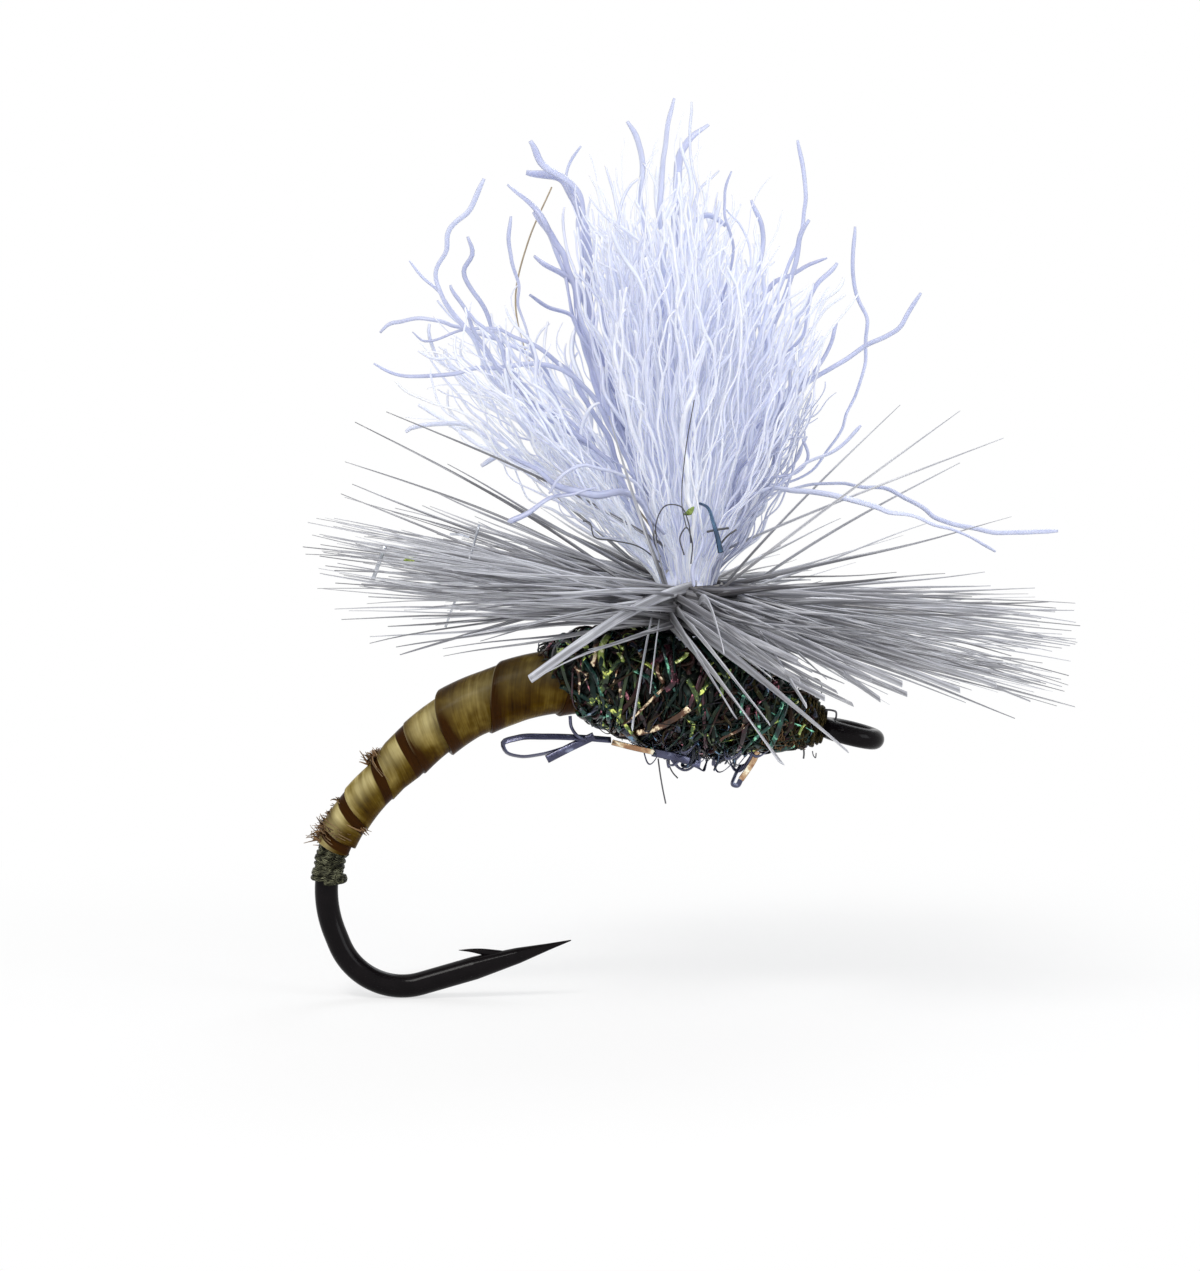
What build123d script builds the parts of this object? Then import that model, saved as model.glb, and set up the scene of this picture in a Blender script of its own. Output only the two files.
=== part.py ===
from build123d import *

import os
from math import ceil, cos, pi, radians, sin, sqrt
from random import Random

# A parachute dry fly on a curved hook, built up in the order in which it is tied, in millimetres.
# The origin is the centre of the hook's eye, +X points forwards past the eye and +Z points up.
# Distances called "from the eye" are measured along the hook's wire.

# Hook wire, from the eye to the point
wire_diameter = 0.49
eye_wire_diameter = 0.45
eye_hole_radius = 0.30
eye_land_length = 0.16  # straight wall inside the eye, which the leader bears on
eye_neck_length = 0.35
eye_droop = 13.5  # degrees by which the shank falls towards the eye
front_shank_length = 4.33
hump_radius = 5.0
hump_turn = 31.9
saddle_length = 0.42
shoulder_radius = 4.5
shoulder_turn = 26.6
rear_shank_length = 1.18
heel_radius = 4.0
heel_turn = 18.4
bend_radius = 2.45
bend_turn = 48.3
lower_straight_length = 0.25
throat_radius = 1.42
throat_turn = 84.5
point_leg_length = 3.27
point_taper_length = 2.1
point_tip_radius = 0.02
barb_reach = 0.72
barb_height = 0.22
barb_thickness = 0.16
barb_from_point = 1.62

# Fit between layers that are wound or laid on each other
lay = 0.01

# Tying thread
thread_diameter = 0.05
thread_base_thickness = 0.045
collar_length = 0.90
collar_pitch = 0.11
collar_cross_pitch = 0.22
head_length = 0.56
head_start = 0.60  # from the eye
head_thread_diameter = 0.075
head_layers = 4

# Wing yarn, post and the butt that fills the body
post_from_eye = 3.50
post_base_radius = 0.58
post_waist_radius = 0.48
post_top_radius = 0.70
post_waist_height = 1.35  # above the shank's upper side
post_length = 2.60
post_wrap_start = 1.05
tie_in_wrap_length = 0.30
butt_gap = 0.12
butt_front_radius = 0.53
butt_rear_radius = 0.33
butt_length = 5.4
butt_step = 0.4  # over which the body falls from the butt's end to the bare thread base
butt_binding_pitch = 0.42
yarn_fibre_diameter = 0.11
wing_height = 9.9
wing_crinkle = 0.05

# Wound biot of the abdomen: rear edge of each turn, from the eye, and the strip itself
biot_edges = [12.10, 11.45, 10.45, 9.63, 8.87, 7.70, 6.55, 5.45]
biot_thickness = 0.05
biot_overlap = 0.28
biot_step = 0.12

# Hackle feather wound round the post
quill_diameter = 0.13
hackle_turns = 5
barbs_per_turn = 20
barb_length = 7.35
barb_root_diameter = 0.085
barb_tip_diameter = 0.03
hackle_tilt = 7.5  # degrees by which the hackle dips towards the eye
hackle_spread = 4.6  # degrees by which most barbs stand above or below the hackle
stray_barb_every = 7  # one barb in so many stands well out of the hackle
stray_barb_rise = 20.0
hackle_seed = 11
barb_stops = 4

# Dubbed thorax: (distance from the eye, radius) along the shank
thorax_profile = [
    (0.95, 0.52),
    (1.6, 0.72),
    (2.5, 1.02),
    (3.45, 1.32),
    (4.4, 1.26),
    (5.4, 1.08),
    (6.1, 0.98),
    (6.5, 0.80),
]
thorax_lump = 0.055  # how far the lumps of the dubbing stand out, as a share of its radius
flash_width = 0.13
flash_thickness = 0.025
flash_ribbon_count = 7

# Small trim
hair_diameter = 0.045
loop_thread_diameter = 0.04
tag_width = 0.26

hook_course = [  # (length, turn in degrees) of each stretch of wire, from the eye's centre to the point
    (front_shank_length, 0),
    (hump_radius * radians(hump_turn), hump_turn),
    (saddle_length, 0),
    (shoulder_radius * radians(shoulder_turn), shoulder_turn),
    (rear_shank_length, 0),
    (heel_radius * radians(heel_turn), heel_turn),
    (bend_radius * radians(bend_turn), bend_turn),
    (lower_straight_length, 0),
    (throat_radius * radians(throat_turn), throat_turn),
    (point_leg_length, 0),
]
hook_length = sum(length for length, turn in hook_course)
wire_radius = wire_diameter / 2
base_radius = wire_radius + lay + thread_base_thickness
eye_wire_radius = eye_wire_diameter / 2
eye_ring_radius = eye_hole_radius + sqrt(eye_wire_radius**2 - (eye_land_length / 2) ** 2)

round_shape = [(cos(k * pi / 3), sin(k * pi / 3)) for k in range(6)]
hair_shape = [(cos(k * pi / 2), sin(k * pi / 2)) for k in range(4)]
flat_shape = [(-1, -1), (1, -1), (1, 1), (-1, 1)]
steps_per_turn = 11


# ---- places on the hook and on the post ----


def hook_plane(distance):
    """Plane across the wire at a distance from the eye: x to the side -Y, y out of the wire's upper side."""
    x = 0
    z = 0
    heading = -eye_droop
    left = distance
    for length, turn in hook_course:
        run = min(left, length)
        if turn:
            radius = length / radians(turn)
            reached = heading + turn * run / length
            x -= radius * (sin(radians(reached)) - sin(radians(heading)))
            z += radius * (cos(radians(reached)) - cos(radians(heading)))
            heading = reached
        else:
            x -= run * cos(radians(heading))
            z -= run * sin(radians(heading))
        left -= run
        if left <= 0:
            break
    along = Vector(-cos(radians(heading)), 0, -sin(radians(heading)))
    return Plane(origin=(x, 0, z), x_dir=(0, -1, 0), z_dir=along)


def hook_spot(distance):
    return hook_plane(distance).origin


def hook_path(start, end):
    """Centreline of the wire between two distances from the eye, as straight lines and arcs."""
    runs = []
    reached = 0
    for length, turn in hook_course:
        near = max(start, reached)
        reached += length
        far = min(end, reached)
        if far <= near:
            continue
        if turn:
            runs.append(ThreePointArc(hook_spot(near), hook_spot((near + far) / 2), hook_spot(far)))
        else:
            runs.append(Line(hook_spot(near), hook_spot(far)))
    return Wire(runs)


post_foot = hook_spot(post_from_eye)
post_foot_height = post_foot.Z + base_radius + lay


def post_plane(height):
    """Level plane across the post, at a height above the thread base on the shank."""
    return Plane(origin=(post_foot.X, 0, post_foot_height + height), x_dir=(1, 0, 0), z_dir=(0, 0, 1))


def between(value, table):
    """Value read from a table of (place, value) rows, straight between the rows and level past the ends."""
    if value <= table[0][0]:
        return table[0][1]
    for (place, here), (next_place, there) in zip(table, table[1:]):
        if value <= next_place:
            return here + (there - here) * (value - place) / (next_place - place)
    return table[-1][1]


def post_radius(height):
    rows = [(0, post_base_radius), (post_waist_height, post_waist_radius), (post_length, post_top_radius)]
    return between(height, rows)


# ---- shapes ----


def faceted(outlines):
    """Closed solid with flat facets between outlines that have as many corners each."""
    facets = [outlines[0], outlines[-1]]
    count = len(outlines[0])
    for near, far in zip(outlines, outlines[1:]):
        for k in range(count):
            following = (k + 1) % count
            facets.append([near[k], near[following], far[following]])
            facets.append([near[k], far[following], far[k]])
    return Solid(Shell([Face(Wire.make_polygon(facet)) for facet in facets]))


def strand(spots, sizes, shape, across=None):
    """Thin solid that follows the spots; each size scales the shape's two directions at its spot."""
    outlines = []
    last = len(spots) - 1
    for i in range(len(spots)):
        along = (spots[min(i + 1, last)] - spots[max(i - 1, 0)]).normalized()
        if across is None:
            across = along.cross(Vector(0.3, 0.9, 0.1)).cross(along)
        across = (across - along * across.dot(along)).normalized()
        plane = Plane(origin=spots[i], x_dir=across, z_dir=along)
        wide, deep = sizes[i]
        outlines.append([plane.from_local_coords((wide * a, deep * b)) for a, b in shape])
    return faceted(outlines)


def round_strand(spots, diameters, shape=round_shape):
    return strand(spots, [(diameter / 2, diameter / 2) for diameter in diameters], shape)


def even_strand(spots, diameter, shape=round_shape):
    return round_strand(spots, [diameter] * len(spots), shape)


def ribbon(spots, width, thickness, first_across):
    """Flat strand whose width lies along first_across where it starts."""
    return strand(spots, [(width / 2, thickness / 2)] * len(spots), flat_shape, first_across)


def smooth_spots(points, count):
    """Evenly spread spots on a smooth curve through hand-placed points."""
    curve = Spline(*[Vector(*point) for point in points])
    return [curve.position_at(i / (count - 1)) for i in range(count)]


def winding(plane_at, start, end, radius_at, pitch, first_angle=0.0):
    """Spots of a winding round the axis that plane_at follows; a negative pitch winds it the other way."""
    turns = abs((end - start) / pitch)
    steps = ceil(turns * steps_per_turn)
    hand = 1 if pitch > 0 else -1
    spots = []
    for i in range(steps + 1):
        place = start + (end - start) * i / steps
        angle = first_angle + hand * 2 * pi * turns * i / steps
        radius = radius_at(place)
        spots.append(plane_at(place).from_local_coords((radius * cos(angle), radius * sin(angle), 0)))
    return spots


def sleeve(start, end, inner_radius, outer_radius):
    """Layer of even thickness round the hook's wire."""
    plane = hook_plane(start)
    return sweep(plane * (Circle(outer_radius) - Circle(inner_radius)), path=hook_path(start, end))


def round_body(plane_at, stops, radius_at, shape_at=None, sides=18):
    """Closed body round an axis; shape_at scales its radius by place and angle."""
    outlines = []
    for place in stops:
        corners = []
        for k in range(sides):
            angle = 2 * pi * k / sides
            radius = radius_at(place) * (shape_at(place, angle) if shape_at else 1)
            corners.append(plane_at(place).from_local_coords((radius * cos(angle), radius * sin(angle), 0)))
        outlines.append(corners)
    return faceted(outlines)


def spread(start, end, count):
    return [start + (end - start) * i / (count - 1) for i in range(count)]


# ---- hook ----


def hook_barb():
    """Spike cut up from the point leg's inner side, leaning back towards the bend."""
    root = hook_length - barb_from_point
    inner = -wire_radius
    tip = (root - barb_reach, inner - barb_height)
    marks = [(root, inner + 0.06), tip, (root - barb_reach * 0.62, inner + 0.06)]
    leg = hook_plane(hook_length - point_leg_length)
    from_leg = hook_length - point_leg_length
    corners = [leg.from_local_coords((barb_thickness / 2, out, place - from_leg)) for place, out in marks]
    return Solid.extrude(Face(Wire.make_polygon(corners)), Vector(0, barb_thickness, 0))


def hook():
    upright = hook_plane(0).y_dir
    eye_plane = Plane(origin=(0, 0, 0), x_dir=hook_plane(0).z_dir, z_dir=upright)
    hole = Cylinder(eye_hole_radius, eye_wire_diameter)
    ring = eye_plane * (Torus(eye_ring_radius, eye_wire_radius) - hole)
    neck_start = eye_ring_radius
    neck_end = neck_start + eye_neck_length
    neck_rings = [
        Wire.make_circle(eye_wire_radius * 0.9, hook_plane(neck_start)),
        Wire.make_circle(wire_radius, hook_plane(neck_end)),
    ]
    neck = Solid.make_loft(neck_rings, ruled=True)
    taper_start = hook_length - point_taper_length
    wire = sweep(hook_plane(neck_end) * Circle(wire_radius), path=hook_path(neck_end, taper_start))
    taper_rings = []
    for place, radius in ((0, wire_radius), (0.55, wire_radius * 0.72), (1, point_tip_radius)):
        taper_rings.append(Wire.make_circle(radius, hook_plane(taper_start + place * point_taper_length)))
    point = Solid.make_loft(taper_rings, ruled=True)
    return [(ring + neck + wire + point + hook_barb()).clean()]


# ---- thread, butt and abdomen on the shank ----

body_end = biot_edges[0]
collar_end = body_end + collar_length
butt_start = post_from_eye + post_base_radius + tie_in_wrap_length + butt_gap
butt_end = butt_start + butt_length


def butt_radius(distance):
    return between(distance, [(butt_start, butt_front_radius), (butt_end, butt_rear_radius)])


def body_radius(distance):
    """Radius of the bound underbody that the biot is wound on."""
    binding = thread_diameter + 2 * lay
    if distance < butt_end:
        return butt_radius(distance) + binding
    fall = [(butt_end, butt_rear_radius + binding), (butt_end + butt_step, base_radius + lay)]
    return between(distance, fall)


def shank_thread_base():
    return [sleeve(head_start, body_end - lay, wire_radius + lay, base_radius)]


def rear_thread_collar():
    inner = wire_radius + lay + thread_diameter / 2
    outer = inner + thread_diameter + lay
    start = body_end + thread_diameter
    first = winding(hook_plane, start, collar_end, lambda place: inner, collar_pitch)
    crossed = winding(hook_plane, start, collar_end, lambda place: outer, -collar_cross_pitch)
    return [even_strand(spots, thread_diameter, hair_shape) for spots in (first, crossed)]


def wing_yarn_butt():
    stops = spread(butt_start, butt_end, 12)
    outer = round_body(hook_plane, stops, butt_radius)
    margin = wire_diameter
    bore = sweep(
        hook_plane(butt_start - margin) * Circle(base_radius + lay),
        path=hook_path(butt_start - margin, butt_end + margin),
    )
    return [outer - bore]


def butt_binding_thread():
    def radius_at(place):
        return butt_radius(place) + lay + thread_diameter / 2

    start = butt_start + thread_diameter
    end = butt_end - thread_diameter
    spots = winding(hook_plane, start, end, radius_at, butt_binding_pitch)
    return [even_strand(spots, thread_diameter, hair_shape)]


def biot_rear_edge(turn):
    """Distance from the eye of the strip's rear edge, after a number of turns forwards."""
    return between(turn, list(enumerate(biot_edges)))


def biot_section(turn):
    """Section of the wound strip: it lies on the last turn at its rear edge and on the underbody in front."""
    rear = biot_rear_edge(turn)
    overlap_end = rear - biot_overlap
    front = biot_rear_edge(turn + 1) - biot_overlap + lay
    lift = biot_thickness + lay
    places = [
        (rear, lift),
        (overlap_end, lift),
        (overlap_end - biot_step, 0),
        (front, 0),
    ]
    inner = [(place, body_radius(place) + rise) for place, rise in places]
    outer = [(place, radius + biot_thickness) for place, radius in reversed(inner)]
    return inner + outer


def abdomen_biot():
    outlines = []
    turns = len(biot_edges) - 2
    steps = turns * steps_per_turn
    for i in range(steps + 1):
        turn = turns * i / steps
        angle = 2 * pi * turn
        middle = hook_plane((biot_rear_edge(turn) + biot_rear_edge(turn + 1)) / 2)
        outward = middle.x_dir * cos(angle) + middle.y_dir * sin(angle)
        corners = []
        for place, radius in biot_section(turn):
            local = hook_plane(place)
            spot = local.from_local_coords((radius * cos(angle), radius * sin(angle), 0))
            reach = spot - middle.origin
            forwards = middle.z_dir * reach.dot(middle.z_dir)
            corners.append(middle.origin + forwards + outward * reach.dot(outward))
        outlines.append(corners)
    return [faceted(outlines)]


def abdomen_radius(distance):
    return body_radius(distance) + 2 * biot_thickness + 2 * lay


def on_abdomen(distance, angle_degrees, rise):
    """Spot above the abdomen's skin; the angle runs from the near side up to the top."""
    radius = abdomen_radius(distance) + rise
    angle = radians(angle_degrees)
    return hook_plane(distance).from_local_coords((radius * cos(angle), radius * sin(angle), 0))


def biot_butt_tag():
    """Ragged stub of the biot, tied in at the back of the body, with torn hairs beside it."""
    stub = [
        on_abdomen(body_end + 0.06, 62, -0.02),
        on_abdomen(body_end - 0.1, 75, 0.12),
        on_abdomen(body_end - 0.3, 85, 0.3),
    ]
    pieces = [ribbon(stub, tag_width, 2 * flash_thickness, hook_plane(body_end).x_dir)]
    for i in range(4):
        angle = 98 + 16 * i
        root = on_abdomen(body_end - 0.05 - 0.04 * i, angle, 0.03)
        tip = on_abdomen(body_end - 0.18 - 0.09 * i, angle + 8, 0.34 - 0.04 * i)
        pieces.append(even_strand([root, (root + tip) / 2, tip], hair_diameter, hair_shape))
    return pieces


def biot_torn_flaps():
    """Small flaps of the biot's edge that stand off the ribs."""
    pieces = []
    flaps = ((10.05, 80, 0.34, 0.16), (11.2, 100, 0.2, 0.12), (11.75, -30, 0.16, 0.2))
    for place, angle, rise, reach in flaps:
        root = on_abdomen(place, angle, 0.02)
        tip = on_abdomen(place - reach, angle, rise)
        pieces.append(round_strand([root, tip], [hair_diameter * 4, hair_diameter], hair_shape))
    return pieces


# ---- post ----

post_wrap_radius = lay + thread_diameter / 2
quill_offset = 2 * lay + thread_diameter + quill_diameter / 2
quill_pitch = quill_diameter + 3 * lay
hackle_height = quill_pitch * hackle_turns
post_wrap_end = post_wrap_start + thread_diameter * 3 + quill_diameter + hackle_height
quill_start = post_wrap_end - hackle_height


def wing_tie_in_wraps():
    """Windings on the shank right in front of the post and right behind it."""
    radius = base_radius + lay + thread_diameter / 2
    pitch = thread_diameter + lay
    front = post_from_eye - post_base_radius - tie_in_wrap_length
    rear = post_from_eye + post_base_radius
    ahead = winding(hook_plane, front, front + tie_in_wrap_length, lambda place: radius, pitch)
    behind = winding(hook_plane, rear, rear + tie_in_wrap_length, lambda place: radius, pitch)
    return [even_strand(ahead, thread_diameter, hair_shape), even_strand(behind, thread_diameter, hair_shape)]


def wing_post():
    """Bound root of the yarn, cut out below so that it sits astride the thread base."""
    heights = [-base_radius, 0, post_waist_height, post_length]
    marks = [(0, -base_radius)] + [(post_radius(height), height) for height in heights] + [(0, post_length)]
    turned = revolve(Plane.XZ * Face(Wire.make_polygon([(out, up, 0) for out, up in marks])), Axis.Z)
    post = Pos(post_plane(0).origin) * turned
    margin = 2 * post_base_radius
    saddle = sweep(
        hook_plane(post_from_eye - margin) * Circle(base_radius + lay),
        path=hook_path(post_from_eye - margin, post_from_eye + margin),
    )
    room = 4 * margin
    below = hook_plane(post_from_eye) * Pos(0, -room / 2, 0) * Box(room, room, room)
    return [post - saddle - below]


def post_thread_wraps():
    def radius_at(height):
        return post_radius(height) + post_wrap_radius

    pitch = thread_diameter + lay
    spots = winding(post_plane, post_wrap_start, post_wrap_end, radius_at, pitch)
    return [even_strand(spots, thread_diameter, hair_shape)]


def quill_spot(turn):
    """Centre of the hackle's quill after a number of turns up the post, and its angle there."""
    height = quill_start + quill_pitch * turn
    angle = 2 * pi * turn
    radius = post_radius(height) + quill_offset
    return post_plane(height).from_local_coords((radius * cos(angle), radius * sin(angle), 0))


def hackle_quill():
    steps = hackle_turns * steps_per_turn
    spots = [quill_spot(hackle_turns * i / steps - 0.5) for i in range(steps + 1)]
    return [even_strand(spots, quill_diameter)]


def hackle_barb(root, angle, rise, length, droop):
    """Tapered barb that leaves the quill level with its rise and bends by the droop."""
    outward = Vector(cos(angle) * cos(rise), sin(angle) * cos(rise), sin(rise))
    spots = []
    for i in range(barb_stops):
        share = i / (barb_stops - 1)
        spots.append(root + outward * (length * share) + Vector(0, 0, -droop * share * share))
    return round_strand(spots, spread(barb_root_diameter, barb_tip_diameter, barb_stops), hair_shape)


def hackle_barbs(turn_number):
    chance = Random(hackle_seed + turn_number)
    barbs = []
    for i in range(barbs_per_turn):
        turn = turn_number - 0.5 + (i + turn_number / hackle_turns) / barbs_per_turn
        angle = 2 * pi * turn
        outward = Vector(cos(angle), sin(angle), 0)
        root = quill_spot(turn) + outward * (quill_diameter / 2 + lay)
        rise = chance.gauss(0, hackle_spread)
        if i % stray_barb_every == turn_number:
            rise = chance.choice((-0.8, 1, 1)) * stray_barb_rise
        rise = radians(rise - hackle_tilt * cos(angle))
        length = barb_length * chance.uniform(0.90, 1.04)
        barbs.append(hackle_barb(root, angle, rise, length, chance.uniform(-0.3, 0.5)))
    return barbs


def hackle_quill_stub():
    end = quill_spot(hackle_turns - 0.42)
    top = end + Vector(0.35, -0.14, 0.75)
    spots = [end + Vector(0.08, 0, quill_diameter), (end + top) / 2 + Vector(0.05, 0, 0), top]
    return [even_strand(spots, quill_diameter * 0.9)]


def hackle_tie_off_wraps():
    def radius_at(height):
        return post_radius(height) + post_wrap_radius + thread_diameter + lay

    pitch = thread_diameter + lay
    end = quill_start - 0.5 * quill_pitch - quill_diameter / 2 - thread_diameter
    spots = winding(post_plane, post_wrap_start, end, radius_at, pitch)
    return [even_strand(spots, thread_diameter, hair_shape)]


# ---- wing ----


def wing_fibre(root_share, lean, side_lean, length, phase):
    """Crinkled yarn fibre that stands on the post and leans out as it rises."""
    root_radius = post_top_radius - yarn_fibre_diameter
    place = (root_radius * root_share[0], root_radius * root_share[1], 0)
    root = post_plane(post_length + lay).from_local_coords(place)
    spots = []
    count = 9
    for i in range(count):
        share = i / (count - 1)
        out = share**1.2
        crinkle = wing_crinkle * min(1, 4 * share)
        spots.append(
            root
            + Vector(
                length * sin(radians(lean)) * out + crinkle * sin(17 * share + phase),
                length * sin(radians(side_lean)) * out + crinkle * cos(14 * share + 2 * phase),
                length * cos(radians(lean)) * cos(radians(side_lean)) * share,
            )
        )
    return even_strand(spots, yarn_fibre_diameter, hair_shape)


# Each lock: fibres, lean at its rear and front edge in degrees, shortest fibre as a share of the outline
wing_locks = {
    "rear": (20, -54, -27, 0.84),
    "middle": (28, -24, 8, 0.88),
    "front": (16, 10, 37, 0.84),
}
lean_limit = 56

# Outline of the wing: lean from upright in degrees, and reach from the post's top as a share of the height
wing_outline = [
    (-56, 0.74),
    (-43, 0.84),
    (-36, 0.82),
    (-29, 0.87),
    (-21, 0.91),
    (-15, 0.88),
    (-5, 0.97),
    (3, 0.90),
    (7, 0.81),
    (18, 0.73),
    (26, 0.71),
    (33, 0.62),
    (40, 0.55),
]


def wing_fibres(lock):
    """Fibres of one lock, in rows from its rear edge to its front edge."""
    count, rear_lean, front_lean, shortest = wing_locks[lock]
    fibres = []
    for i in range(count):
        along = (i + 0.5) / count
        lean = rear_lean + (front_lean - rear_lean) * along
        across = 2 * ((i * 0.382 + 0.17) % 1) - 1
        forward = lean / lean_limit
        sideways = across * sqrt(max(0, 1 - forward * forward))
        reach = wing_height * between(lean, wing_outline)
        length = reach * (shortest + (1 - shortest) * ((i * 0.618) % 1))
        fibres.append(wing_fibre((forward, sideways), lean, 19 * across, length, i * 1.3))
    return fibres


def from_post_top(points):
    """Points measured from the middle of the post's top."""
    top = post_plane(post_length)
    return [top.from_local_coords(point) for point in points]


def along_wing(points):
    """Points measured from the post's top, as shares of the wing's height."""
    return from_post_top([(x * wing_height, y * wing_height, z * wing_height) for x, y, z in points])


wing_strays = [
    [
        (0.03, -0.055, 0.012),
        (0.12, -0.09, 0.125),
        (0.26, -0.12, 0.15),
        (0.47, -0.14, 0.09),
        (0.635, -0.15, 0.015),
    ],
    [(0.062, 0.01, 0.012), (0.15, 0.03, 0.13), (0.39, 0.05, 0.14), (0.6, 0.06, 0.08), (0.8, 0.07, 0.035)],
    [
        (-0.03, -0.055, 0.012),
        (-0.13, -0.11, 0.25),
        (-0.29, -0.14, 0.37),
        (-0.47, -0.15, 0.41),
        (-0.66, -0.16, 0.415),
    ],
    [
        (-0.062, 0.01, 0.012),
        (-0.19, 0.09, 0.31),
        (-0.42, 0.11, 0.48),
        (-0.59, 0.12, 0.515),
        (-0.64, 0.12, 0.48),
    ],
    [
        (0.05, 0.038, 0.012),
        (0.15, 0.1, 0.29),
        (0.3, 0.14, 0.495),
        (0.385, 0.15, 0.625),
        (0.35, 0.15, 0.695),
    ],
    [
        (0.05, -0.04, 0.012),
        (0.18, -0.1, 0.25),
        (0.34, -0.13, 0.42),
        (0.42, -0.14, 0.485),
        (0.48, -0.14, 0.555),
    ],
    [
        (0.012, 0.062, 0.012),
        (0.09, 0.15, 0.395),
        (0.19, 0.19, 0.655),
        (0.245, 0.2, 0.775),
        (0.23, 0.2, 0.87),
    ],
    [(-0.012, -0.062, 0.012), (-0.05, -0.13, 0.435), (-0.07, -0.14, 0.755), (-0.09, -0.14, 0.98)],
]


def wing_stray_fibres():
    fibres = []
    for points in wing_strays:
        spots = smooth_spots(along_wing(points), 11)
        fibres.append(even_strand(spots, yarn_fibre_diameter, hair_shape))
    return fibres


def tan_guard_fibre():
    points = [
        (-0.042, 0.05, 0.012),
        (-0.15, 0.19, 0.29),
        (-0.33, 0.26, 0.54),
        (-0.32, 0.27, 0.68),
        (-0.28, 0.27, 0.77),
    ]
    return [even_strand(smooth_spots(along_wing(points), 11), hair_diameter, hair_shape)]


def dark_hair():
    points = [(-0.05, -0.82, 0.1), (-0.15, -1.45, 1.1), (-0.1, -1.9, 2.2), (0.08, -2.1, 3.3)]
    return [even_strand(smooth_spots(from_post_top(points), 8), hair_diameter, hair_shape)]


def post_flash():
    points = [(0.36, -1.1, 0.92), (0.26, -1.0, 0.6), (0.12, -0.92, 0.3), (0.1, -0.86, 0.0)]
    spots = smooth_spots(from_post_top(points), 8)
    return [ribbon(spots, flash_width * 1.3, flash_thickness, Vector(1, 0, 0))]


def thread_loop(centre, width, height, tilt):
    """Open loop of loose thread that stands on its two ends."""
    points = []
    for share in (0, 0.25, 0.5, 0.75, 1):
        angle = pi * (1.1 - 1.2 * share)
        offset = (width / 2 * cos(angle), tilt * sin(angle), height * sin(angle))
        points.append(tuple(c + o for c, o in zip(centre, offset)))
    return even_strand(smooth_spots(points, 9), loop_thread_diameter, hair_shape)


def post_thread_loops():
    top = post_plane(post_length).origin
    wide = thread_loop((top.X - 0.42, -1.05, top.Z + 0.6), 0.62, 0.5, -0.1)
    small = thread_loop((top.X + 0.02, -1.08, top.Z + 0.45), 0.3, 0.42, -0.16)
    return [wide, small]


# ---- thorax ----

post_clearance = post_base_radius + 2 * (thread_diameter + lay) + 0.04


def thorax_radius(distance):
    return between(distance, thorax_profile)


def thorax_lumps(distance, angle):
    return 1 + thorax_lump * (sin(3 * angle + 4 * distance) + sin(5 * angle - 7 * distance + 1))


def thorax_half(start, end, bore_radius):
    stops = spread(start, end, 14)
    body = round_body(hook_plane, stops, thorax_radius, thorax_lumps)
    margin = 0.3
    bore = sweep(
        hook_plane(start - margin) * Circle(bore_radius), path=hook_path(start - margin, end + margin)
    )
    room = 3 * post_length
    post_hole = post_plane(0) * Pos(0, 0, room / 2 - post_base_radius) * Cylinder(post_clearance, room)
    return [body - bore - post_hole]


def thorax_dubbing_front():
    wraps_radius = base_radius + 2 * lay + thread_diameter
    return thorax_half(thorax_profile[0][0], post_from_eye - lay, wraps_radius + lay)


def thorax_dubbing_rear():
    return thorax_half(post_from_eye + lay, thorax_profile[-1][0], abdomen_radius(butt_start) + lay)


def on_thorax(distance, angle, rise):
    radius = thorax_radius(distance) * thorax_lumps(distance, angle) + rise
    return hook_plane(distance).from_local_coords((radius * cos(angle), radius * sin(angle), 0))


def thorax_flash_ribbons():
    """Flash fibres wound in with the dubbing; they cross the near side, the belly and the far side."""
    ribbons = []
    for i in range(flash_ribbon_count):
        place = 1.35 + 0.78 * i
        slant = 0.3 if i % 2 else 0.2
        spots = []
        for k in range(13):
            share = k / 12
            angle = radians(50 - 280 * share)
            spots.append(on_thorax(place + slant * share, angle, 0.09))
        ribbons.append(ribbon(spots, flash_width, flash_thickness, hook_plane(place).z_dir))
    return ribbons


def flash_loop():
    points = [
        (-5.0, -0.72, -0.08),
        (-5.7, -0.85, -0.02),
        (-6.5, -0.9, 0.03),
        (-7.1, -0.9, 0.0),
        (-7.26, -0.9, -0.2),
        (-7.0, -0.9, -0.38),
        (-6.5, -0.88, -0.34),
        (-5.9, -0.85, -0.2),
    ]
    return [ribbon(smooth_spots(points, 20), flash_width, flash_thickness, Vector(0, 0.6, 1))]


def hanging_tinsel():
    points = [
        (-2.75, -0.35, -0.66),
        (-2.55, -0.4, -0.9),
        (-2.42, -0.42, -1.06),
        (-2.3, -0.4, -0.9),
        (-2.05, -0.35, -0.6),
    ]
    return [ribbon(smooth_spots(points, 12), flash_width, flash_thickness, Vector(0, 1, 0))]


def trailing_threads():
    long_course = [(-4.0, -0.25, -0.56), (-3.93, -0.27, -0.9), (-3.9, -0.26, -1.2), (-3.84, -0.3, -1.45)]
    short_course = [(-3.7, 0.2, -0.6), (-3.74, 0.2, -0.75), (-3.66, 0.22, -0.86), (-3.58, 0.22, -0.98)]
    courses = (long_course, short_course)
    return [even_strand(smooth_spots(points, 8), hair_diameter, hair_shape) for points in courses]


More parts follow.
